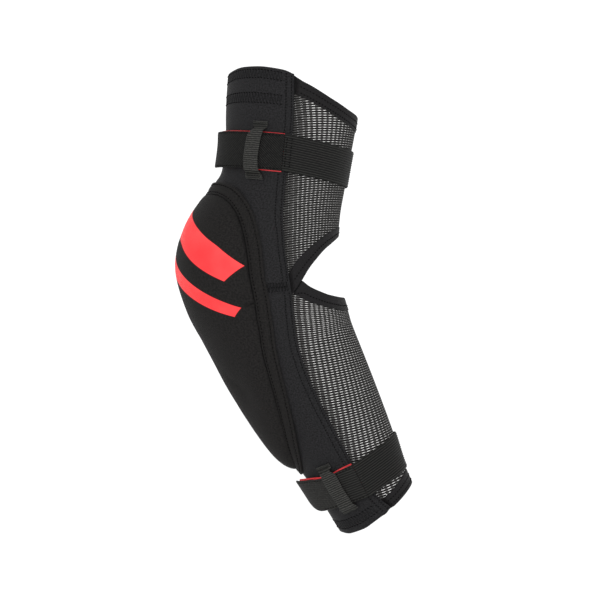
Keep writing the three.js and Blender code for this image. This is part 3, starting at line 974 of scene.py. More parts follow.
# %% Border strip
BORDER_ROWS = (1.8, 7.1)
BORDER_SOLE = 0.5
BORDER_SIDE = 0.6
LIP_RAISE = 0.4
LIP_SPAN = (7.1, 8.6)
BORDER_STEPS = 288
BORDER_STITCH = {"pitch": 2.5, "length": 1.1, "thickness": 0.65}
BORDER_THREAD_PROUD = 0.1
BORDER_PROFILE = [
    (0.05, 0.55), (0.0, 1.1), (0.12, 1.55), (0.45, 1.85), (0.95, 1.95), (1.4, 1.85), (1.8, 1.6), (2.2, 1.85),
    (3.0, 2.15), (4.2, 2.3), (5.4, 2.2), (6.3, 2.05), (6.75, 1.95), (7.1, 1.82), (7.45, 1.9), (7.9, 1.85),
    (8.3, 1.6), (8.6, 1.15), (8.65, 0.6), (4.5, 0.5),
]


def border_shape():
    """The profile's insets and lifts, set at even turns round the outline and raised at the pad's top end."""
    inset, lift = np.array(BORDER_PROFILE).T
    turn = np.arange(BORDER_STEPS)[:, None] / BORDER_STEPS
    station, angle = outline(turn, inset)
    run = np.broadcast_to(turn * OUTLINE_LENGTH, station.shape)
    raised = np.clip((lift - BORDER_SOLE) / BORDER_SIDE, 0, 1) + LIP_RAISE * smoothstep(inset, *LIP_SPAN)
    lift = lift + top_raise(station, angle) * raised
    return ring(skin(station, angle, lift), np.stack([np.broadcast_to(inset, run.shape), run], -1))


dress("border_strip", border_shape(), finishes["pad_knit"], ["pad_border"], wrap=OUTLINE_LENGTH)


def border_thread():
    """One row of stitches in each crease of the border."""
    turn = np.linspace(0, 1, 4 * BORDER_STEPS)
    rows = []
    for inset in BORDER_ROWS:
        station, angle = outline(turn, inset)
        lift = float(np.interp(inset, *np.array(BORDER_PROFILE[:-2]).T)) + BORDER_THREAD_PROUD
        rows.append(stitch_row(station, angle, lambda s, a: lift + top_raise(s, a), **BORDER_STITCH))
    return joined(rows)


dress("border_thread", border_thread(), finishes["black_thread_painted_shade"])

# %% [markdown]
# ## The neoprene panels
#
# Two panels of jersey-faced neoprene cover the back of the arm, one above the elbow and one below, with
# folded hems at the rims. The face is the arm's map with small changes of lift: edges that round over,
# shallow channels where stitches pull it down, a corner that stands proud at the cuff, and slow waves,
# because no worn panel is perfectly smooth.

# %% The neoprene's face
ELBOW_SEAM = 11.0
SEAM_ROWS = (1.7, 5.4)
TOP_BANDS = ((155.6, 150.2), (140.6, 134.6))
BOTTOM_BAND = (-152.2, -157.6)
SEWN_GROOVE = (0.6, 0.18)
ELBOW_GROOVE = (2.4, 0.15)
WAVE_HEIGHT = 0.32
WAVE_SPAN = (6, 16)
SLOW_WAVES = [(0.085, 0.05, 1.0), (-0.035, 0.06, 0.0)]
PUCKER_HEIGHT = 0.1
PUCKER_PITCH = 2.6
PUCKER_PLACE = 3.5
PUCKER_REACH = 1.6
CUFF_RISE = 1.5
CUFF_RISE_SPAN = (146, 160)
CUFF_RISE_REACH = 16
PULL_AT = 79.0
PULL_HEIGHT = 3.0
PULL_ALONG = 5.5
PULL_ROUND = 25


def from_seam(station, angle):
    """Millimetres round the sleeve from the flank seam, towards the point of the elbow."""
    return (seam_angle(station) - np.abs(angle)) * degree_length(station)


def neoprene_face(station, angle):
    """Lift of the panel's outside: slow waves, sewn channels, puckers, the cuff's corner and the pad's pull.

    The waves are a product of sines. Each has its radians per millimetre along the arm and round it, and its
    start.
    """
    inward = from_seam(station, angle)
    arc = angle * degree_length(station)
    lift = WAVE_HEIGHT
    for along, around, start in SLOW_WAVES:
        lift = lift * np.sin(along * station + around * arc + start)
    lift = lift * smoothstep(inward, *WAVE_SPAN)
    for row in SEAM_ROWS:
        lift = lift + groove(inward - row, *SEWN_GROOVE)
    for row in (*TOP_BANDS[0], *TOP_BANDS[1], *BOTTOM_BAND):
        lift = lift + groove(station - row, *SEWN_GROOVE)
    lift = lift + groove(station - ELBOW_SEAM, *ELBOW_GROOVE)
    beside_seam = np.exp(-(((inward - PUCKER_PLACE) / PUCKER_REACH) ** 2))
    lift = lift + PUCKER_HEIGHT * np.sin(2 * np.pi * station / PUCKER_PITCH) * beside_seam
    corner = smoothstep(-station, *CUFF_RISE_SPAN) * (1 - smoothstep(inward, 0, CUFF_RISE_REACH))
    pull = PULL_HEIGHT * np.exp(-(((station - PULL_AT) / PULL_ALONG) ** 2) - (arc / PULL_ROUND) ** 2)
    return lift + CUFF_RISE * corner + pull


print("neoprene stands", round(float(neoprene_face(PULL_AT, 0.0)), 1), "mm proud above the pad")

# %% Panel walls
NEOPRENE = 2.4
HEM_WIDTH = 10.0
HEM_FOLD = 1.0
HEM_STEP = 0.6
SEAM_EDGE = 0.9
RIM_EDGE = 1.6
CUT_EDGE = 0.2
BUTT = 0.03
TOP_CORNER_CUT = 0.8
TOP_CORNER_REACH = 8
TOP_CORNER_FROM = 148
CUFF_CORNER_CUT = 2.0
CUFF_CORNER_REACH = 6
CUFF_CORNER_FROM = 152
SEAM_MARGIN = 8.0
MARGIN_STEP = 1.0
PANEL_STEP = 1.6
PANEL_COLUMNS = 76


def panel_shape(low, high):
    """A panel between two stations: set distances in from each seam, and even steps between them."""
    bands = [row for band in (*TOP_BANDS, BOTTOM_BAND) for row in band]
    station = samples(low, high, PANEL_STEP, close=(low, high, *bands))[:, None]
    margin = samples(0, SEAM_MARGIN, MARGIN_STEP, close=(0, *SEAM_ROWS))
    side = seam_angle(station) - margin / degree_length(station)
    middle = side[:, -1:] * np.linspace(1, -1, PANEL_COLUMNS)[1:-1]
    angle = np.concatenate([side, middle, -side[:, ::-1]], 1)
    inward = from_seam(station, angle)
    to_rim = np.minimum(TOP_RIM - station, station - BOTTOM_RIM) + 0 * inward
    top_corner = 1 - smoothstep(inward, 0, TOP_CORNER_REACH)
    station = station - TOP_CORNER_CUT * top_corner * smoothstep(station, TOP_CORNER_FROM, TOP_RIM)
    cuff_corner = 1 - smoothstep(inward, 0, CUFF_CORNER_REACH)
    station = station + CUFF_CORNER_CUT * cuff_corner * smoothstep(-station, CUFF_CORNER_FROM, -BOTTOM_RIM)
    drop = edge_drop(inward, SEAM_EDGE) + edge_drop(to_rim, RIM_EDGE)
    drop = drop + edge_drop(np.abs(station - ELBOW_SEAM), CUT_EDGE)
    face = neoprene_face(station, angle)
    fold = HEM_FOLD * (1 - smoothstep(to_rim, HEM_WIDTH - HEM_STEP, HEM_WIDTH + HEM_STEP))
    cloth = np.stack([angle * degree_length(station), station], -1)
    return wall(skin(station, angle, face - drop), skin(station, angle, drop - NEOPRENE - fold), cloth)


upper_shape = panel_shape(ELBOW_SEAM + BUTT, TOP_RIM)
lower_shape = panel_shape(BOTTOM_RIM, ELBOW_SEAM - BUTT)
upper_panel = dress("upper_panel", upper_shape, finishes["neoprene"], ["sleeve_upper"])
lower_panel = dress("lower_panel", lower_shape, finishes["neoprene"], ["sleeve_lower"])

# %% [markdown]
# ## The open net
#
# The crook is covered by a spacer net: a black face with small slots in straight columns, over a core that
# is pale outside and black behind. The core shows white in every slot. The face has real holes: each cell
# of a lattice is a frame of three strips round an eight-sided slot, and the cells share their corners. An
# alpha mask would be lighter, but it would show no thickness. The flat map is the lattice itself, so that
# the yarn is paler along each row of slots and darker between the rows, the dark between them being
# painted shade. Rows bow and columns fan as the cloth stretches, and the edge is cut by moving the
# outermost corners on to the panel's outline.

# %% Edges across the crook
NET_LAP = 2.5
NET_TUCK = 2.0
NET_DIP = 2.5
SEAM_SLOPE = 6.0


def bowed(flank, bow, power=1.0):
    """An edge across the crook: its station at the flanks, plus a bow times half a sine wave to a power."""
    return lambda across: flank + bow * np.sin(np.pi * np.clip(across, 0, 1)).clip(0) ** power


def drawn(places, stations):
    """An edge across the crook through stations at shares of the way, the same from both flanks."""
    half = smooth_column(places, stations)
    return lambda across: half(np.minimum(np.clip(across, 0, 1), 1 - np.clip(across, 0, 1)))


TOP_RIM_EDGE = drawn([0, 0.04, 0.1, 0.2, 0.35, 0.5], [156.5, 152.6, 148.7, 142.9, 137.4, 135.5])
TOP_HEM_FOOT = bowed(143.5, -18.5)
UPPER_BINDING_HEAD = drawn(
    [0, 0.035, 0.081, 0.151, 0.224, 0.313, 0.434, 0.5], [20, 26.8, 33.2, 41, 47.5, 53.2, 57.5, 58.3]
)
UPPER_BINDING_FREE = drawn(
    [0, 0.07, 0.128, 0.171, 0.224, 0.299, 0.434, 0.5], [4, 15, 24.8, 31, 37.4, 43.8, 50, 51.2]
)
LOWER_BINDING_FREE = drawn([0, 0.07, 0.113, 0.177, 0.255, 0.4, 0.5], [22, 15, 9.5, 4.2, -0.9, -6, -7.3])
LOWER_BINDING_FOOT = drawn(
    [0, 0.026, 0.087, 0.162, 0.246, 0.38, 0.5], [6.2, 3.8, -2.5, -8.3, -14.2, -20.8, -22.5]
)
BOTTOM_HEM_HEAD = bowed(-151.8, 7.8, 1.5)
BOTTOM_RIM_EDGE = bowed(-160.5, 5.8, 1.3)
crook_opening = float(UPPER_BINDING_FREE(0.5) - LOWER_BINDING_FREE(0.5))
print(f"opening in the crook: {crook_opening:.1f} mm along the arm")


def crook_start(station):
    """Angle at which the crook side starts, just past the flank seam."""
    return seam_angle(station) + GAP / degree_length(station)


def across_crook(station, angle):
    """Share of the way across the crook, from the strap flank's seam to the far one."""
    start = crook_start(station)
    return (angle - start) / (360 - 2 * start)


def inside_seam(station, angle):
    """Millimetres from the nearer flank seam into the crook side."""
    return (180 - np.abs(angle - 180) - crook_start(station)) * degree_length(station)


def under_seam(station, angle, depth, width):
    """How far cloth dips to pass under the neoprene's edge: the depth at the seam, nothing past the width."""
    return depth * (1 - smoothstep(inside_seam(station, angle), 0, width))


# %% Net lattice
SLOT_ROUND = 0.60
SLOT_ALONG = 0.19
SHUT_SLOT = 0.06
RING_X = np.array([1, 1, 0, -1, -1, -1, 0, 1])
RING_Y = np.array([0, 1, 1, 1, 0, -1, -1, -1])
SLOT_X = np.array([1, 0.8, 0, -0.8, -1, -0.8, 0, 0.8])
SLOT_Y = np.array([0, 0.85, 1, 0.85, 0, -0.85, -1, -0.85])
WALE_LIFT = (0.0, -0.12)
BAR_LIFT = (-0.03, -0.12)
RIM_LIFT = (-0.06, -0.115)
CORE_LIFT = (-0.17, -1.2)
CROOK_SPAN = (6, 42)
SHUT_SPAN = (-0.8, 0.2)
LATTICE_COLUMNS = np.arange(-28, 29)
LATTICE_ROWS = np.arange(-108, 108)
CODE_BASE = 1000
CODE_SHIFT = 400
PANELS = {
    "upper": {
        "low": UPPER_BINDING_HEAD, "high": TOP_HEM_FOOT, "pitch": 3.21, "bow": -0.0022, "still": 80.0,
        "fan": (0.155, 0.0017), "fan_reach": 70.0, "slots": ([20, 80, 140], [0.8, 0.82, 1.12]),
        "seam_slot": 0.35, "narrows": 14.0, "crook_slot": 0.5,
    },
    "lower": {
        "low": BOTTOM_HEM_HEAD, "high": LOWER_BINDING_FOOT, "pitch": 3.80, "bow": 0.0028, "still": -70.0,
        "fan": (-0.14, -0.00033), "fan_reach": 40.0, "slots": ([-150, -100, 0], [1.2, 1.0, 1.0]),
        "seam_slot": 0.6, "narrows": 9.0, "crook_slot": 0.62,
    },
}


def net_chart(column, row, panel):
    """Arc from the crook's middle and station of a lattice place.

    Rows bow with the square of the arc, and columns fan apart along the arm.
    """
    arc = column * panel["pitch"]
    station = row * NET_PITCH_ALONG + panel["bow"] * arc**2
    rise = station - panel["still"]
    straight, curved = panel["fan"]
    fan = (straight * rise + curved * rise**2) * smoothstep(np.abs(arc), 0, panel["fan_reach"])
    return arc + np.sign(arc) * fan, station


def net_points(column, row, lift, panel):
    """Points of the face, kept inside the panel and dipped under the neoprene at both seams."""
    arc, station = net_chart(column, row, panel)
    angle = 180 + arc / crook_degree_length(station)
    across = across_crook(station, angle)
    station = np.clip(station, panel["low"](across) - NET_TUCK, panel["high"](across) + NET_TUCK)
    lap = crook_start(station) - NET_LAP / degree_length(station)
    angle = np.clip(angle, lap, 360 - lap)
    return skin(station, angle, lift - under_seam(station, angle, NET_DIP, SEAM_SLOPE))


def net_cells(panel):
    """Columns and rows of the cells whose middle is inside the panel."""
    column, row = (k.ravel() for k in np.meshgrid(LATTICE_COLUMNS, LATTICE_ROWS, indexing="ij"))
    arc, station = net_chart(column, row, panel)
    angle = 180 + arc / crook_degree_length(station)
    across = across_crook(station, angle)
    lap = crook_start(station) - NET_LAP / degree_length(station)
    fits = (angle > lap) & (angle < 360 - lap)
    fits &= (station > panel["low"](across) - NET_TUCK) & (station < panel["high"](across) + NET_TUCK)
    return column[fits], row[fits]


# %% Net faces
def net_shape(panel):
    """Frames round slots on a lattice.

    Corners and edge middles belong to up to four cells, so they are numbered once by their half-step place,
    written as one whole number. Each cell has a ring of eight of those, a slot's rim above and the same
    below. Edges that only one cell uses are the cut edge of the cloth, and get a quad from top to bottom.
    Slots that a tape covers are all but shut.
    """
    column, row = net_cells(panel)
    half_column = 2 * column[:, None] + RING_X
    half_row = 2 * row[:, None] + RING_Y
    codes = (half_column + CODE_SHIFT) * CODE_BASE + half_row + CODE_SHIFT
    shared, number = np.unique(codes, return_inverse=True)
    number = number.reshape(codes.shape)
    half_column = shared // CODE_BASE - CODE_SHIFT
    half_row = shared % CODE_BASE - CODE_SHIFT
    on_bar = half_column % 2 == 0
    corner = (half_column / 2, half_row / 2)
    arc, station = net_chart(column, row, panel)
    angle = 180 + arc / crook_degree_length(station)
    across = across_crook(station, angle)
    from_tape = np.minimum(panel["high"](across) - station, station - panel["low"](across))
    size = lerp(panel["seam_slot"], 1, smoothstep(inside_seam(station, angle), 0, panel["narrows"]))
    size = size * lerp(panel["crook_slot"], 1, smoothstep(np.abs(arc), *CROOK_SPAN))
    size = size * np.interp(station, *panel["slots"])
    size = (size * lerp(SHUT_SLOT, 1, smoothstep(from_tape, *SHUT_SPAN)))[:, None] / 2
    rim = (
        (column[:, None] + size * SLOT_ROUND * SLOT_X).ravel(),
        (row[:, None] + size * SLOT_ALONG * SLOT_Y).ravel(),
    )
    lifts = [np.where(on_bar, bar, wale) for bar, wale in zip(BAR_LIFT, WALE_LIFT)]
    layers = [net_points(*corner, lift, panel) for lift in lifts]
    layers += [net_points(*rim, lift, panel) for lift in RIM_LIFT]
    top, bottom = number, number + len(shared)
    rim_top = 2 * len(shared) + np.arange(rim[0].size).reshape(-1, 8)
    rim_bottom = rim_top + rim[0].size
    next_top, next_bottom, next_rim_top, next_rim_bottom = (
        np.roll(k, -1, 1) for k in (top, bottom, rim_top, rim_bottom)
    )
    quads = [
        np.stack([rim_top, top, next_top, next_rim_top], -1).reshape(-1, 4),
        np.stack([rim_bottom, rim_top, next_rim_top, next_rim_bottom], -1).reshape(-1, 4),
        np.stack([bottom, rim_bottom, next_rim_bottom, next_bottom], -1).reshape(-1, 4),
    ]
    pairs = np.stack([top, next_top], -1).reshape(-1, 2)
    _, first, uses = np.unique(np.sort(pairs, 1), axis=0, return_index=True, return_counts=True)
    cut = pairs[first[uses == 1]]
    quads.append(np.stack([cut[:, 1], cut[:, 0], cut[:, 0] + len(shared), cut[:, 1] + len(shared)], -1))
    cloth = [np.stack(place, -1) * (panel["pitch"], NET_PITCH_ALONG) for place in (corner, corner, rim, rim)]
    print("net cells:", len(column))
    return np.concatenate(layers), np.concatenate(quads), np.concatenate(cloth)


# %% Net cores
CROOK_GIRTH = 125.0
CORE_GRID = (60, 90)
CORE_FACES = (CORE_GRID[0] - 1) * (CORE_GRID[1] - 1)
CORE_TUCK = 0.008


def crook_places(low, high, share, across):
    """Stations and angles a share of the way up between two edges and a share of the way across the crook."""
    station = lerp(low(across), high(across), share)
    start = crook_start(station)
    return station, lerp(start, 360 - start, across)


def core_shape(panel):
    """A thin wall just under the face, over the same panel. Its first faces are the outside."""
    share = np.linspace(-CORE_TUCK, 1 + CORE_TUCK, CORE_GRID[0])[:, None]
    lap = NET_LAP / CROOK_GIRTH
    across = np.linspace(-lap, 1 + lap, CORE_GRID[1])
    station, angle = crook_places(panel["low"], panel["high"], share, across)
    dip = under_seam(station, angle, NET_DIP, SEAM_SLOPE)
    cloth = np.stack([(angle - 180) * crook_degree_length(station), station], -1)
    return wall(*(skin(station, angle, lift - dip) for lift in CORE_LIFT), cloth)


for name, panel in PANELS.items():
    face = dress(f"net_face_{name}", net_shape(panel), finishes["net_yarn"], [f"net_{name}"])
    core = dress(f"net_core_{name}", core_shape(panel), finishes["net_core"])
    second_finish(core, finishes["net_yarn"], np.arange(len(core.data.polygons)) >= CORE_FACES)

# %% [markdown]
# ## Tapes that bind the net
#
# The net's cut edges are wrapped in a soft folded tape: a hem at the top and the cuff, and two bindings
# that frame the open crook. Each is a strip of the crook between two bowed edges, thick enough to hold the
# net inside it, with a full round fold on its free edge and a line of stitches that pinches it.

# %% Tapes
TAPE_PROUD = 0.5
TAPE_INSIDE = 1.9
TAPE_FOLD = 1.15
TAPE_LIP = 0.5
TAPE_COLUMNS = 150
TAPE_LAP = 2.0
TAPE_DIP = 3.0
TAPE_SLOPE = 3.5
TAPE_STEP = 0.8
TAPE_PINCH = (0.6, 0.2)
TAPE_STITCH = {"pitch": 2.4, "length": 1.1, "thickness": 0.55}
TAPE_THREAD_SUNK = 0.1
TAPE_THREAD_SPAN = (0.02, 0.98)
LOWER_BINDING_START = 0.012
EVENLY_ACROSS = np.linspace(0, 1, 41)


def tape_shape(low, high, rows, fold_low, begin):
    """A tape between two edges, and its width. rows are its stitches.

    fold_low says that its round fold is the lower edge. Distances up the tape are shares of its width, as
    its width changes little along it. begin is where it starts across the crook, below 0 if under the seam.
    """
    width = float(np.mean(high(EVENLY_ACROSS) - low(EVENLY_ACROSS)))
    up = samples(0, width, TAPE_STEP, close=(0, width, *rows))[:, None]
    across = lerp(begin, 1 - begin, np.linspace(0, 1, TAPE_COLUMNS))
    station, angle = crook_places(low, high, up / width, across)
    folds = (TAPE_FOLD, TAPE_LIP) if fold_low else (TAPE_LIP, TAPE_FOLD)
    drop = edge_drop(up, folds[0]) + edge_drop(width - up, folds[1])
    dip = under_seam(station, angle, TAPE_DIP, TAPE_SLOPE)
    pinch = sum(groove(up - row, *TAPE_PINCH) for row in rows)
    run = across * CROOK_GIRTH + 0 * station
    cloth = np.stack([run, np.broadcast_to(up, run.shape)], -1)
    outside = skin(station, angle, TAPE_PROUD - drop - dip + pinch)
    return wall(outside, skin(station, angle, drop - TAPE_INSIDE - dip - pinch), cloth), width


def on_tape(station, angle):
    """Lift of thread that is sunk a little into a tape."""
    return TAPE_PROUD - TAPE_THREAD_SUNK - under_seam(station, angle, TAPE_DIP, TAPE_SLOPE)


def tape_thread(low, high, width, rows):
    """A row of stitches along the tape for each place in rows."""
    across = np.linspace(*TAPE_THREAD_SPAN, 200)
    paths = [crook_places(low, high, row / width, across) for row in rows]
    return joined([stitch_row(*path, on_tape, **TAPE_STITCH) for path in paths])


def under_upper(across):
    """The lower binding's free edge, kept under the upper binding where the two cross."""
    return np.minimum(LOWER_BINDING_FREE(across), UPPER_BINDING_FREE(across) - 2 * GAP)


UNDER_NEOPRENE = -TAPE_LAP / CROOK_GIRTH
TAPES = [
    ("top_hem", "net_top_hem", TOP_HEM_FOOT, TOP_RIM_EDGE, (2.0, 6.2), False, UNDER_NEOPRENE),
    ("cuff_hem", "net_bottom_hem", BOTTOM_RIM_EDGE, BOTTOM_HEM_HEAD, (2.6, 6.0), True, UNDER_NEOPRENE),
    (
        "upper_binding", "crease_binding_upper", UPPER_BINDING_FREE, UPPER_BINDING_HEAD,
        (5.0,), True, UNDER_NEOPRENE,
    ),
    (
        "lower_binding", "crease_binding_lower", LOWER_BINDING_FOOT, under_upper,
        (4.5,), False, LOWER_BINDING_START,
    ),
]
tape_threads = []
for tape_name, node, low, high, rows, fold_low, begin in TAPES:
    shape, tape_width = tape_shape(low, high, rows, fold_low, begin)
    dress(tape_name, shape, finishes["tape_cloth"], [node])
    tape_threads.append(tape_thread(low, high, tape_width, rows))
dress("tape_thread", joined(tape_threads), finishes["black_thread_painted_shade"])

# %% [markdown]
# ## Straps
#
# Two straps close the guard. Each is a length of ribbed elastic from the far flank round the crook, joined
# to a tab whose free end stands off the sleeve. The upper tab is twilled and the lower one knitted, with
# the elastic's weave up to its keeper. The lower tab's knit is dyed lighter than the twill, partly its own
# tone and partly painted light, as light falls more brightly on the lower tab. The elastic's ribs are wide
# enough to see, so they are real waves in the grid, with painted shade in their hollows too, while the tabs'
# weave is finer than a pixel and is left to the bump and to painted shade in its hollows. Red hook tape is
# sewn under the tab and shows along its edges.

# %% Strap sizes
STRAP_WIDTH = 25.0
STRAP_SEAT = 0.4
STRAP_STEP = 1.6
ELASTIC = 1.4
ELASTIC_EDGE = 0.5
ELASTIC_SETTLED = 118.0
ELASTIC_RIB_HEIGHT = 0.18
HOOK = 0.8
HOOK_INSIDE = 1.2
HOOK_SET_BACK = 5.0
TAB = 1.4
TAB_SEAT = 1.5
TAB_STEP = 1.2
TAB_EDGE = 0.4
TAB_LOOSE_FROM = 58.0
RED_BLEND = 8
STRAPS = [
    {
        "name": "upper", "station": 102.3, "tilt": 0, "droop": 3.8, "joint": 88, "far_end": 282,
        "tab_end": 7, "rise": 2.8, "corner_up": 3, "corner_down": 3, "keeper": 62, "feet": (-19.3, 20),
        "lean": ([-20, -13, -4, 5, 10, 15.5, 20], [2.2, -0.3, -1.6, -1.15, -0.3, 2.2, 1.9]),
        "red": 0.55, "red_below": 62, "joint_rows": (1.4, 4.4), "pinch": (62, 18, 0.0),
        "cloth": "tab_twill", "ribbed_from": None,
    },
    {
        "name": "lower", "station": -133.3, "tilt": 5.2, "droop": -3.1, "joint": 89, "far_end": 284,
        "tab_end": 4, "rise": 4.6, "corner_up": 2, "corner_down": 13, "keeper": 61, "feet": (-17.2, 19),
        "lean": ([-20, -10, 0, 10, 15, 20], [-0.2, -0.4, -1.0, -0.7, -1.9, -2.4]),
        "red": 0.9, "red_below": 200, "joint_rows": (), "pinch": (54, 18, 2.3),
        "cloth": "tab_knit_painted_light", "ribbed_from": 33.0,
    },
]
print("straps at stations", [strap["station"] for strap in STRAPS], "mm")


# %% Elastic
def strap_middle(strap, angle):
    """Station of the strap's middle: tilted towards the tab, drooping by half a sine wave in the crook."""
    tilt = strap["tilt"] * np.clip((strap["joint"] - angle) / (strap["joint"] - strap["tab_end"]), 0, 1)
    return strap["station"] + tilt - strap["droop"] * np.sin(np.pi * np.clip((angle - 90) / 180, 0, 1))


def elastic_seat(strap, angle):
    """Lift that the elastic's outside stands on, which steps up to the tab at the joint."""
    return lerp(TAB_SEAT, STRAP_SEAT, smoothstep(angle, strap["joint"], ELASTIC_SETTLED))


def elastic_shape(strap):
    """Ribs along the strap: a cosine of the distance across it, and rounded edges."""
    half = STRAP_WIDTH / 2
    across = samples(-half, half, ELASTIC_RIB / 4, close=(-half, half))
    per_degree = float(degree_length(strap["station"]))
    angle = samples(strap["joint"], strap["far_end"], STRAP_STEP / per_degree)[:, None]
    rib = ELASTIC_RIB_HEIGHT * np.cos(2 * np.pi * across / ELASTIC_RIB)
    drop = edge_drop(half - np.abs(across), ELASTIC_EDGE)
    seat = elastic_seat(strap, angle)
    station = strap_middle(strap, angle) + across
    run = np.broadcast_to((angle - strap["joint"]) * per_degree, station.shape)
    cloth = np.stack([np.broadcast_to(across, run.shape), run], -1)
    outside = skin(station, angle, seat + ELASTIC + rib - drop)
    return wall(outside, skin(station, angle, STRAP_SEAT + drop - rib), cloth)


for strap in STRAPS:
    name = strap["name"]
    dress(f"elastic_{name}", elastic_shape(strap), finishes["elastic_weave"], [f"strap_{name}"])


# %% Tabs and hook tape
def rounded_half(half, corner, from_end):
    """Half width left beside a rounded corner, at a distance from the strip's end."""
    into = np.clip(corner - from_end, 0, None)
    return half - corner + np.sqrt(np.clip(corner**2 - into**2, 0, None))


def tab_looseness(strap, angle):
    """How far the tab stands off its seat: nothing at the joint, the strap's rise at the free end."""
    return strap["rise"] * (1 - smoothstep(angle, strap["tab_end"], TAB_LOOSE_FROM))


def tab_pinch(strap, angle):
    """Millimetres by which the keeper draws in the tab's upper edge: a bell about one angle."""
    at, reach, depth = strap["pinch"]
    return depth * np.exp(-(((angle - at) / reach) ** 2))


def tab_shape(strap, margin, inside, seat, thickness, set_back):
    """A strip from the joint to the free end, which lifts off the sleeve along a smooth S.

    margin is what it adds to the strap's width above, and below past the strap's red_below angle. Before that
    angle it is narrower by inside.
    """
    half = STRAP_WIDTH / 2
    per_degree = float(degree_length(strap["station"]))
    end = strap["tab_end"] + set_back / per_degree
    begin = strap["joint"] - GAP / per_degree
    length = (begin - end) * per_degree
    from_end = samples(0, length, TAB_STEP, close=(0, 1, 3))[:, None]
    angle = end + from_end / per_degree
    up = rounded_half(half, strap["corner_up"], from_end) + margin - tab_pinch(strap, angle)
    down = rounded_half(half, strap["corner_down"], from_end)
    red_below = strap["red_below"]
    down = down + lerp(-inside, margin, smoothstep(angle, red_below - RED_BLEND, red_below + RED_BLEND))
    share = samples(0, 2 * half, TAB_STEP, close=(0, 2 * half)) / (2 * half)
    across = lerp(-down, up, share)
    edge = np.minimum(np.minimum(across + down, up - across), from_end)
    drop = edge_drop(edge, TAB_EDGE * thickness)
    low = seat + tab_looseness(strap, angle)
    station = strap_middle(strap, angle) + across
    cloth = np.stack([across, np.broadcast_to(from_end, across.shape)], -1)
    return wall(skin(station, angle, low + thickness - drop), skin(station, angle, low + drop), cloth)


for strap in STRAPS:
    name = strap["name"]
    tab = tab_shape(strap, 0.0, 0.0, TAB_SEAT, TAB, 0.0)
    piece = dress(f"tab_cloth_{name}", tab, finishes[strap["cloth"]], [f"tab_{name}"])
    if strap["ribbed_from"]:
        _, quads, cloth = tab
        from_end = cloth[quads[:, 0], 1]
        second_finish(piece, finishes["elastic_weave"], from_end > strap["ribbed_from"])
    hook = tab_shape(strap, strap["red"], HOOK_INSIDE, STRAP_SEAT, HOOK, HOOK_SET_BACK)
    dress(f"hook_tape_{name}", hook, finishes["red_hook"], [f"hook_{name}"])

# %% [markdown]
# ## Keepers
#
# A short loop of webbing holds each tab down, bar-tacked to the sleeve above it and folded under below.
# Webbing is woven with thick cross yarns, so its face is a row of rounded ribs, and the warp shows as
# shallow columns between them. Both are waves in the grid.

# %% Webbing loops
KEEPER = 1.1
KEEPER_REACH = 20.0
KEEPER_FOOT = 4.0
KEEPER_SIDE_EDGE = 0.45
KEEPER_END_EDGE = 0.5
KEEPER_FOLD = 0.8
KEEPER_FOLD_SPAN = (3.0, 4.0)
WEBBING_WARP = 1.6
WEBBING_RELIEF = 0.16
WARP_SHARE = 0.08
KEEPER_CLEAR = STRAP_WIDTH / 2 + 1.0
KEEPER_DOWN = KEEPER_REACH - KEEPER_FOOT
KEEPER_BRIDGE = TAB_SEAT + TAB + 2 * GAP
KEEPER_HALF = 5.0
keeper_half = smooth_column(
    [-20, -17, -14, 0, 11, 14, 15.6, 16.4, 20], [6.0, 5.9, 5.0, 5.0, 4.8, 3.7, 3.8, 5.0, 5.0]
)


def keeper_seat(reach):
    """Lift of the webbing's underside: over the tab between its edges, and on the sleeve at both feet."""
    return lerp(KEEPER_BRIDGE, STRAP_SEAT, smoothstep(np.abs(reach), KEEPER_CLEAR, KEEPER_DOWN))


def keeper_place(strap, across, reach):
    """Stations and angles on the loop, which bows aside by its lean."""
    aside = across + smooth_column(*strap["lean"])(reach)
    angle = strap["keeper"] + aside / float(degree_length(strap["station"]))
    return strap_middle(strap, strap["keeper"]) + reach + 0 * across, angle


def keeper_shape(strap):
    """Cross ribs times shallow warp columns on the outside, with a folded, thicker lower end.

    The loop narrows to a neck below its upper foot, where the tab's edge bunches it, and widens at its lower
    fold.
    """
    low, high = strap["feet"]
    reach = samples(low, high, WEBBING_RIB / 5, close=(low, high))[:, None]
    warps = samples(-KEEPER_HALF, KEEPER_HALF, WEBBING_WARP / 4, close=(-KEEPER_HALF, KEEPER_HALF))
    half = keeper_half(reach * KEEPER_REACH / np.where(reach < 0, -low, high))
    across = warps * half / KEEPER_HALF
    rib = 0.5 + 0.5 * np.cos(2 * np.pi * reach / WEBBING_RIB)
    warp = 1 - WARP_SHARE + WARP_SHARE * np.cos(2 * np.pi * warps / WEBBING_WARP)
    drop = edge_drop(half - np.abs(across), KEEPER_SIDE_EDGE)
    drop = drop + edge_drop(np.minimum(reach - low, high - reach), KEEPER_END_EDGE)
    fold_from, fold_to = KEEPER_FOLD_SPAN
    folded = KEEPER_FOLD * (1 - smoothstep(reach, low + fold_from, low + fold_to))
    seat = keeper_seat(reach)
    station, angle = keeper_place(strap, across, reach)
    cloth = np.stack(np.broadcast_arrays(across, reach), -1)
    outside = skin(station, angle, seat + KEEPER + folded + WEBBING_RELIEF * rib * warp - drop)
    return wall(outside, skin(station, angle, seat + drop), cloth)


for strap in STRAPS:
    name = strap["name"]
    dress(f"webbing_{name}", keeper_shape(strap), finishes["webbing_weave"], [f"keeper_{name}"])

# %% [markdown]
# ## Seams and tacks
#
# The rest of the thread goes on last, because it lies on faces that are now known: two rows beside each
# flank seam, the zigzag bands of the hems, the flat seam that crosses the elbow, the line where elastic
# meets tab, and dense bar tacks on the keepers' feet. All are rows or zigzags along paths on the arm.


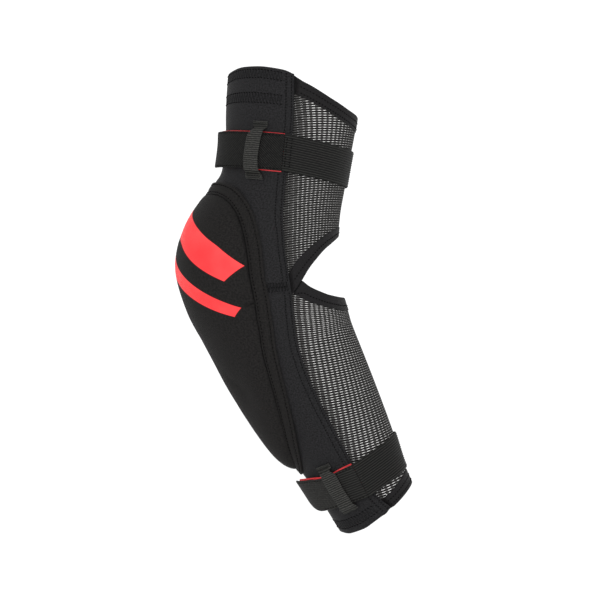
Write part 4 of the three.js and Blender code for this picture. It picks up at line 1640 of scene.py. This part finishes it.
# %% Sleeve thread
SEAM_STITCH = {"pitch": 1.9, "length": 0.9, "thickness": 0.65}
FLAT_STITCH = {"pitch": 1.8, "length": 0.9, "thickness": 0.5}
FLAT_ZIGZAG = {"pitch": 2.2, "thickness": 0.2}
HEM_STITCH = {"pitch": 2.4, "length": 1.1, "thickness": 0.6}
HEM_ZIGZAG = {"pitch": 2.4, "thickness": 0.24}
FLAT_SEAM_ROWS = (-2.8, 0, 2.8)
FLAT_SEAM_START = 82
FLAT_SEAM_END = 1.0
BAND_INSET = 7.0
ROW_FROM_RIM = 2
ROW_FROM_ELBOW = 3
THREAD_PROUD = 0.08
LONG_PATH = 300
SHORT_PATH = 60


def seam_path(row, low, high, side):
    """A path a set distance in from one flank seam, side 1 on the strap flank and -1 on the far one."""
    station = np.linspace(low, high, LONG_PATH)
    return station, side * (seam_angle(station) - row / degree_length(station))


def level_path(station):
    """A path round the outer side at one station, from just inside one seam to just inside the other."""
    limit = float(seam_angle(station) - BAND_INSET / degree_length(station))
    return np.full(LONG_PATH, float(station)), np.linspace(limit, -limit, LONG_PATH)


def flank_path(station, side):
    """A path at one station from the pad's border to the flank seam."""
    limit = float(seam_angle(station) - FLAT_SEAM_END / degree_length(station))
    return np.full(SHORT_PATH, float(station)), side * np.linspace(FLAT_SEAM_START, limit, SHORT_PATH)


def on_neoprene(station, angle):
    """Lift of thread that lies on the neoprene's face."""
    return neoprene_face(station, angle) + THREAD_PROUD


LOWER_SPAN = (BOTTOM_RIM + ROW_FROM_RIM, ELBOW_SEAM - ROW_FROM_ELBOW)
UPPER_SPAN = (ELBOW_SEAM + ROW_FROM_ELBOW, TOP_RIM - ROW_FROM_RIM)
sleeve_rows = []
for side in (1, -1):
    for span in (LOWER_SPAN, UPPER_SPAN):
        near, far = (seam_path(row, *span, side) for row in SEAM_ROWS)
        sleeve_rows += [stitch_row(*row, on_neoprene, **SEAM_STITCH) for row in (near, far)]
    flat_seam = [flank_path(ELBOW_SEAM + step, side) for step in FLAT_SEAM_ROWS]
    sleeve_rows += [stitch_row(*row, on_neoprene, **FLAT_STITCH) for row in flat_seam]
    sleeve_rows.append(zigzag(flat_seam[0], flat_seam[2], on_neoprene, **FLAT_ZIGZAG))
for first, second in (*TOP_BANDS, BOTTOM_BAND):
    near, far = level_path(first), level_path(second)
    sleeve_rows += [stitch_row(*row, on_neoprene, **HEM_STITCH) for row in (near, far)]
    sleeve_rows.append(zigzag(near, far, on_neoprene, **HEM_ZIGZAG))
dress("sleeve_thread", joined(sleeve_rows), finishes["black_thread_painted_shade"])

# %% Strap thread
JOINT_STITCH = {"pitch": 2.6, "length": 1.6, "thickness": 0.5}
JOINT_INSET = 1.5
FAR_STITCH = {"pitch": 2.6, "length": 1.9, "thickness": 0.6}
FAR_ROWS = (2.0, 7.0)
FAR_HALF = 11.0
TAB_STITCH = {"pitch": 2.4, "length": 1.5, "thickness": 0.45}
TAB_ROW = STRAP_WIDTH / 2 - 1.3
TAB_ROW_INSET = 1.5
TAB_ROW_STOP = 2
TACK_ZIGZAG = {"pitch": 1.1, "thickness": 0.45}
TACK_STEPS = (0.5, 3.6)
TACK_ACROSS = np.linspace(-5.2, 5.2, 40)
JOINT_LIFT = TAB_SEAT + ELASTIC + 0.1
FAR_LIFT = STRAP_SEAT + ELASTIC + 0.12
TAB_LIFT = TAB_SEAT + TAB + 0.03
TACK_LIFT = 0.25


def cross_path(station, angle, half):
    """A path along the arm at one angle, half a length to each side of a station."""
    return station + np.linspace(-half, half, 40), np.full(40, float(angle))


def level(lift):
    """A face at one lift everywhere."""
    return lambda station, angle: lift + 0 * station


def joint_thread(strap, per_degree):
    """Rows across the elastic: at its joint with the tab, if they show, and at its far end."""
    rows = []
    half = STRAP_WIDTH / 2 - JOINT_INSET
    for offset in strap["joint_rows"]:
        path = cross_path(strap["station"], strap["joint"] + offset / per_degree, half)
        rows.append(stitch_row(*path, level(JOINT_LIFT), **JOINT_STITCH))
    middle = strap_middle(strap, strap["far_end"])
    for offset in FAR_ROWS:
        path = cross_path(middle, strap["far_end"] - offset / per_degree, FAR_HALF)
        rows.append(stitch_row(*path, level(FAR_LIFT), **FAR_STITCH))
    return rows


def tab_thread(strap, per_degree):
    """A row along each edge of the tab, as loose as the tab is."""
    rows = []
    for side, corner in ((TAB_ROW, strap["corner_up"]), (-TAB_ROW, strap["corner_down"])):
        start = strap["tab_end"] + (corner + TAB_ROW_INSET) / per_degree
        turn = np.linspace(start, strap["joint"] - TAB_ROW_STOP, 120)
        inset = tab_pinch(strap, turn) * (side > 0)
        edge = (strap_middle(strap, turn) + side - inset, turn)
        rows.append(stitch_row(*edge, lambda s, a: TAB_LIFT + tab_looseness(strap, a), **TAB_STITCH))
    return rows


def keeper_tacks(strap):
    """A dense zigzag across each foot of the keeper, the lower one on its fold."""
    rows = []
    for foot, inward, fold in ((strap["feet"][1], -1, 0.0), (strap["feet"][0], 1, KEEPER_FOLD)):
        ends = [keeper_place(strap, TACK_ACROSS, foot + inward * step) for step in TACK_STEPS]
        rows.append(zigzag(*ends, level(STRAP_SEAT + KEEPER + fold + TACK_LIFT), **TACK_ZIGZAG))
    return rows


strap_rows = []
tacks = []
for strap in STRAPS:
    per_degree = float(degree_length(strap["station"]))
    strap_rows += joint_thread(strap, per_degree) + tab_thread(strap, per_degree)
    tacks += keeper_tacks(strap)
dress("strap_thread", joined(strap_rows), finishes["black_thread_painted_shade"])
dress("keeper_tacks", joined(tacks), finishes["webbing_weave"])

# %% [markdown]
# ## Studio
#
# The guard hangs in the form that the arm gives it, over a plain pale floor. A white world does most of the
# lighting, as a light tent does for a catalogue picture, and two large soft lamps give the black cloth its
# shape. The floor lies well below, so it carries only a faint shadow.

# %% Floor
FLOOR_HEIGHT = -0.26
FLOOR_SIZE = 6.0
FLOOR_PATCH = 0.4
FLOOR_ROUGHNESS = 0.9
FLOOR_DYES = {"Dark": opaque((0.9, 0.9, 0.9)), "Light": opaque((0.94, 0.94, 0.94))}


def floor_finish():
    """A pale matte paper with a faint drift, in Object coordinates."""
    material = bpy.data.materials.new("pale_floor")
    material.use_nodes = True
    tree = material.node_tree
    place = tree.nodes.new("ShaderNodeTexCoord").outputs["Object"]
    dye = use_group(tree, "dye_drift", place, Patch=FLOOR_PATCH, **FLOOR_DYES)
    shader = tree.nodes["Principled BSDF"]
    feed(tree, shader.inputs["Base Color"], dye["Colour"])
    shader.inputs["Roughness"].default_value = FLOOR_ROUGHNESS
    return material


corner = FLOOR_SIZE / 2
floor_mesh = bpy.data.meshes.new("floor")
floor_corners = [(-corner, -corner), (corner, -corner), (corner, corner), (-corner, corner)]
floor_mesh.from_pydata([(x, y, FLOOR_HEIGHT) for x, y in floor_corners], [], [(0, 1, 2, 3)])
floor_mesh.materials.append(floor_finish())
floor = bpy.data.objects.new("floor", floor_mesh)
bpy.context.scene.collection.objects.link(floor)
print("floor:", FLOOR_SIZE, "m wide, at", FLOOR_HEIGHT, "m")

# %% Light
WORLD_STRENGTH = 1.15
world = bpy.data.worlds.new("light_tent")
bpy.context.scene.world = world
world.use_nodes = True
world.node_tree.nodes["Background"].inputs["Color"].default_value = (1, 1, 1, 1)
world.node_tree.nodes["Background"].inputs["Strength"].default_value = WORLD_STRENGTH
LAMPS = [
    {"name": "key", "at": (-0.4, -1.3, 0.2), "size": 0.9, "power": 7.0},
    {"name": "fill", "at": (0.8, -1.1, -0.1), "size": 1.0, "power": 8.0},
]
for lamp in LAMPS:
    light = bpy.data.lights.new(lamp["name"], "AREA")
    light.size = lamp["size"]
    light.energy = lamp["power"]
    holder = bpy.data.objects.new(lamp["name"], light)
    holder.location = lamp["at"]
    aim = np.array(lamp["at"])
    tip = math.acos(aim[2] / np.linalg.norm(aim))
    holder.rotation_euler = (tip, 0, math.atan2(aim[1], aim[0]) + math.pi / 2)
    bpy.context.scene.collection.objects.link(holder)
bpy.context.scene.view_settings.view_transform = "Standard"
print("lamps:", [lamp["name"] for lamp in LAMPS])
